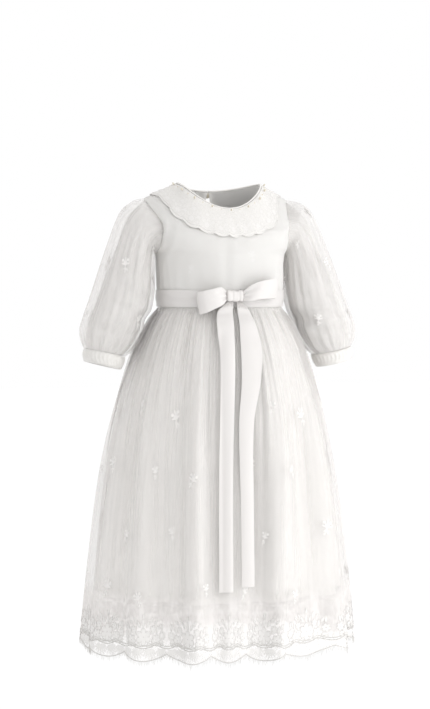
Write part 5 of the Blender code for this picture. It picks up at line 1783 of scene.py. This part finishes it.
class GOWN_OT_ribbon(bpy.types.Operator):
    """Make the ribbon sash and its bow"""

    bl_idname = "gown.ribbon"
    bl_label = "Sash and bow"

    def execute(self, context):
        finish = finishes()
        turns = ring_turns(192)[None, :]
        share = np.linspace(0, 1, 13)[:, None]
        z = SASH_TOP + (SASH_BOTTOM - SASH_TOP) * share + 0.0004 * np.sin(np.radians(3 * turns))
        base, out = waist_points(turns + 0 * z, z + 0 * turns)
        crown = 0.0005 * np.sin(np.pi * share) + 0.00035 * np.cos(
            2 * np.pi * (1.5 * share + 0.6 * np.sin(np.radians(2 * turns))))
        grid = base + out * (RIBBON_LIFT + crown * np.sin(np.pi * share))[..., None]
        flat = cloth_map(np.linspace(0, SASH_FLAT_LENGTH, 193)[None, :], -SASH_FLAT_DEPTH * share)
        piece = wall("waist_sash_ribbon", grid, flat, True, RIBBON_WALL, finish["ribbon"])
        settle(piece, "ribbon", "waist_sash")

        for word, table in (("left", LEFT_LOOP), ("right", RIGHT_LOOP)):
            middle, half = loop_stations(table, 96)
            if word == "left":
                middle, half = middle[::-1], half[::-1]
            share = np.linspace(1, -1, 15)[:, None]
            grid = middle[None] + half[None] * share[..., None]
            near = np.abs(np.linspace(-1, 1, 97))[None, :] ** 3
            crown = 0.0012 * (1 - share ** 2) * (1 - near)
            creases = 0.0016 * near * np.cos(2.5 * np.pi * share) * np.clip((1 - near) * 6, 0, 1)
            soft = 0.0006 * np.sin(3 * share + 9 * near)
            grid = grid + outward(grid, False) * (crown + creases + soft * (1 - near))[..., None]
            length = run_along(middle)
            flat = cloth_map(length[None, :], 0.014 * share)
            piece = wall(f"bow_loop_{word}_ribbon", grid, flat, False, RIBBON_WALL, finish["ribbon"])
            settle(piece, "ribbon", f"bow_loop_{word}")

        skirt = skirt_tree()
        for word, table, phase, lean in (("left", LEFT_TAIL, 4, 0.0), ("right", RIGHT_TAIL, 5, 0.0022)):
            middle, half = tail_stations(table, 120)
            share = np.linspace(-1, 1, 11)[None, :]
            down = np.linspace(0, 1, 121)[:, None]
            grid = middle[:, None] + half[:, None] * share[..., None]
            grid = settle_on_skirt(grid, skirt)
            cup = 0.0016 * (1 - share ** 2) * smooth((down - 0.04) / 0.3)
            cup = cup * (1 + 0.4 * np.cos(9 * down + phase))
            creases = 0.0009 * np.cos(5 * np.pi * share + 3 * down) * (1 - smooth(down / 0.25))
            tilt = lean * (1 + share) * smooth((down - 0.25) / 0.2)
            grid = grid + outward(grid, False) * (cup + creases + tilt)[..., None]
            length = run_along(middle)
            flat = cloth_map(0.5 * RIBBON_WIDTH * share, -length[:, None])
            piece = wall(f"bow_tail_{word}_ribbon", grid, flat, False, RIBBON_WALL, finish["ribbon"])
            settle(piece, "ribbon", f"bow_tail_{word}")

        points, flat, sides = knot_points()
        knot = tube("bow_knot_ribbon", points, sides, flat, finish["ribbon"], 60)
        settle(knot, "ribbon", "bow_knot")
        return {"FINISHED"}


class GOWN_OT_stage(bpy.types.Operator):
    """Make the pale floor, the soft studio light and the camera"""

    bl_idname = "gown.stage"
    bl_label = "Stage"

    def execute(self, context):
        scene = context.scene
        floor = new_finish("white studio floor", linear("ffffff"), 0.9, specular=0.1)[0]
        corners = ((-14, -14, -1.05), (14, -14, -1.05), (14, 14, -1.05), (-14, 14, -1.05))
        mesh = bpy.data.meshes.new("studio_floor")
        mesh.from_pydata(corners, [], [(0, 1, 2, 3)])
        mesh.materials.append(floor)
        link("studio_floor", mesh)

        world = bpy.data.worlds.new("studio white")
        world.use_nodes = True
        world.node_tree.nodes["Background"].inputs["Color"].default_value = (1, 1, 1, 1)
        world.node_tree.nodes["Background"].inputs["Strength"].default_value = 1.0
        scene.world = world

        def lamp(name, kind, energy, way, distance, size):
            data = bpy.data.lights.new(name, kind)
            data.energy = energy
            if kind == "SUN":
                data.angle = math.radians(size)
            else:
                data.shape = "RECTANGLE"
                data.size, data.size_y = size
            light = link(name, data)
            way = Vector(way).normalized()
            light.location = Vector((0, 0, -0.35)) + way * distance
            light.rotation_mode = "QUATERNION"
            light.rotation_quaternion = way.to_track_quat("Z", "Y")

        lamp("soft box", "AREA", 8.5, (0.66, -0.74, 0.15), 1.25, (1.1, 1.6))
        lamp("soft front", "SUN", 0.30, (-0.10, -0.95, 0.3), 3.0, 60)

        azimuth, elevation, distance, focal_px = math.radians(-20), math.radians(2), 3.3, 2115
        data = bpy.data.cameras.new("photo camera")
        data.sensor_fit = "VERTICAL"
        data.sensor_height = SENSOR_HEIGHT
        data.lens = focal_px / PICTURE_HEIGHT * SENSOR_HEIGHT
        data.clip_end = 60
        camera = link("photo camera", data)
        flat = math.cos(elevation)
        back = Vector((math.sin(azimuth) * flat, -math.cos(azimuth) * flat, math.sin(elevation)))
        aim = Vector((math.cos(azimuth) * -0.0055, math.sin(azimuth) * -0.0055, -0.2644))
        camera.location = aim + back * distance
        camera.rotation_mode = "QUATERNION"
        camera.rotation_quaternion = back.to_track_quat("Z", "Y")
        scene.camera = camera
        scene.view_settings.view_transform = "Standard"
        scene.view_settings.exposure = 0.0
        return {"FINISHED"}


class GOWN_PT_panel(bpy.types.Panel):
    """Lists the gown's sizes, colours and pieces"""

    bl_idname = "GOWN_PT_panel"
    bl_label = "Christening gown"
    bl_space_type = "VIEW_3D"
    bl_region_type = "UI"
    bl_category = "Gown"

    def draw(self, context):
        for group in (context.scene.gown_sizes, context.scene.gown_colours):
            for name in group.bl_rna.properties.keys():
                if name not in ("rna_type", "name"):
                    self.layout.prop(group, name)
        for operator in OPERATORS:
            self.layout.operator(operator.bl_idname)


OPERATORS = (
    GOWN_OT_stage, GOWN_OT_bodice, GOWN_OT_sleeves, GOWN_OT_skirt, GOWN_OT_embroidery,
    GOWN_OT_collar, GOWN_OT_neck, GOWN_OT_ribbon,
)
CLASSES = (GownSizes, GownColours) + OPERATORS + (GOWN_PT_panel,)


def register():
    """Register the classes and the scene's settings."""
    for item in CLASSES:
        bpy.utils.register_class(item)
    bpy.types.Scene.gown_sizes = bpy.props.PointerProperty(type=GownSizes)
    bpy.types.Scene.gown_colours = bpy.props.PointerProperty(type=GownColours)


def unregister():
    """Remove the classes and the scene's settings."""
    del bpy.types.Scene.gown_colours
    del bpy.types.Scene.gown_sizes
    for item in reversed(CLASSES):
        bpy.utils.unregister_class(item)


def main():
    """Make every piece."""
    register()
    bpy.ops.gown.stage()
    bpy.ops.gown.bodice()
    bpy.ops.gown.sleeves()
    bpy.ops.gown.skirt()
    bpy.ops.gown.embroidery()
    bpy.ops.gown.collar()
    bpy.ops.gown.neck()
    bpy.ops.gown.ribbon()


if __name__ == "__main__":
    main()
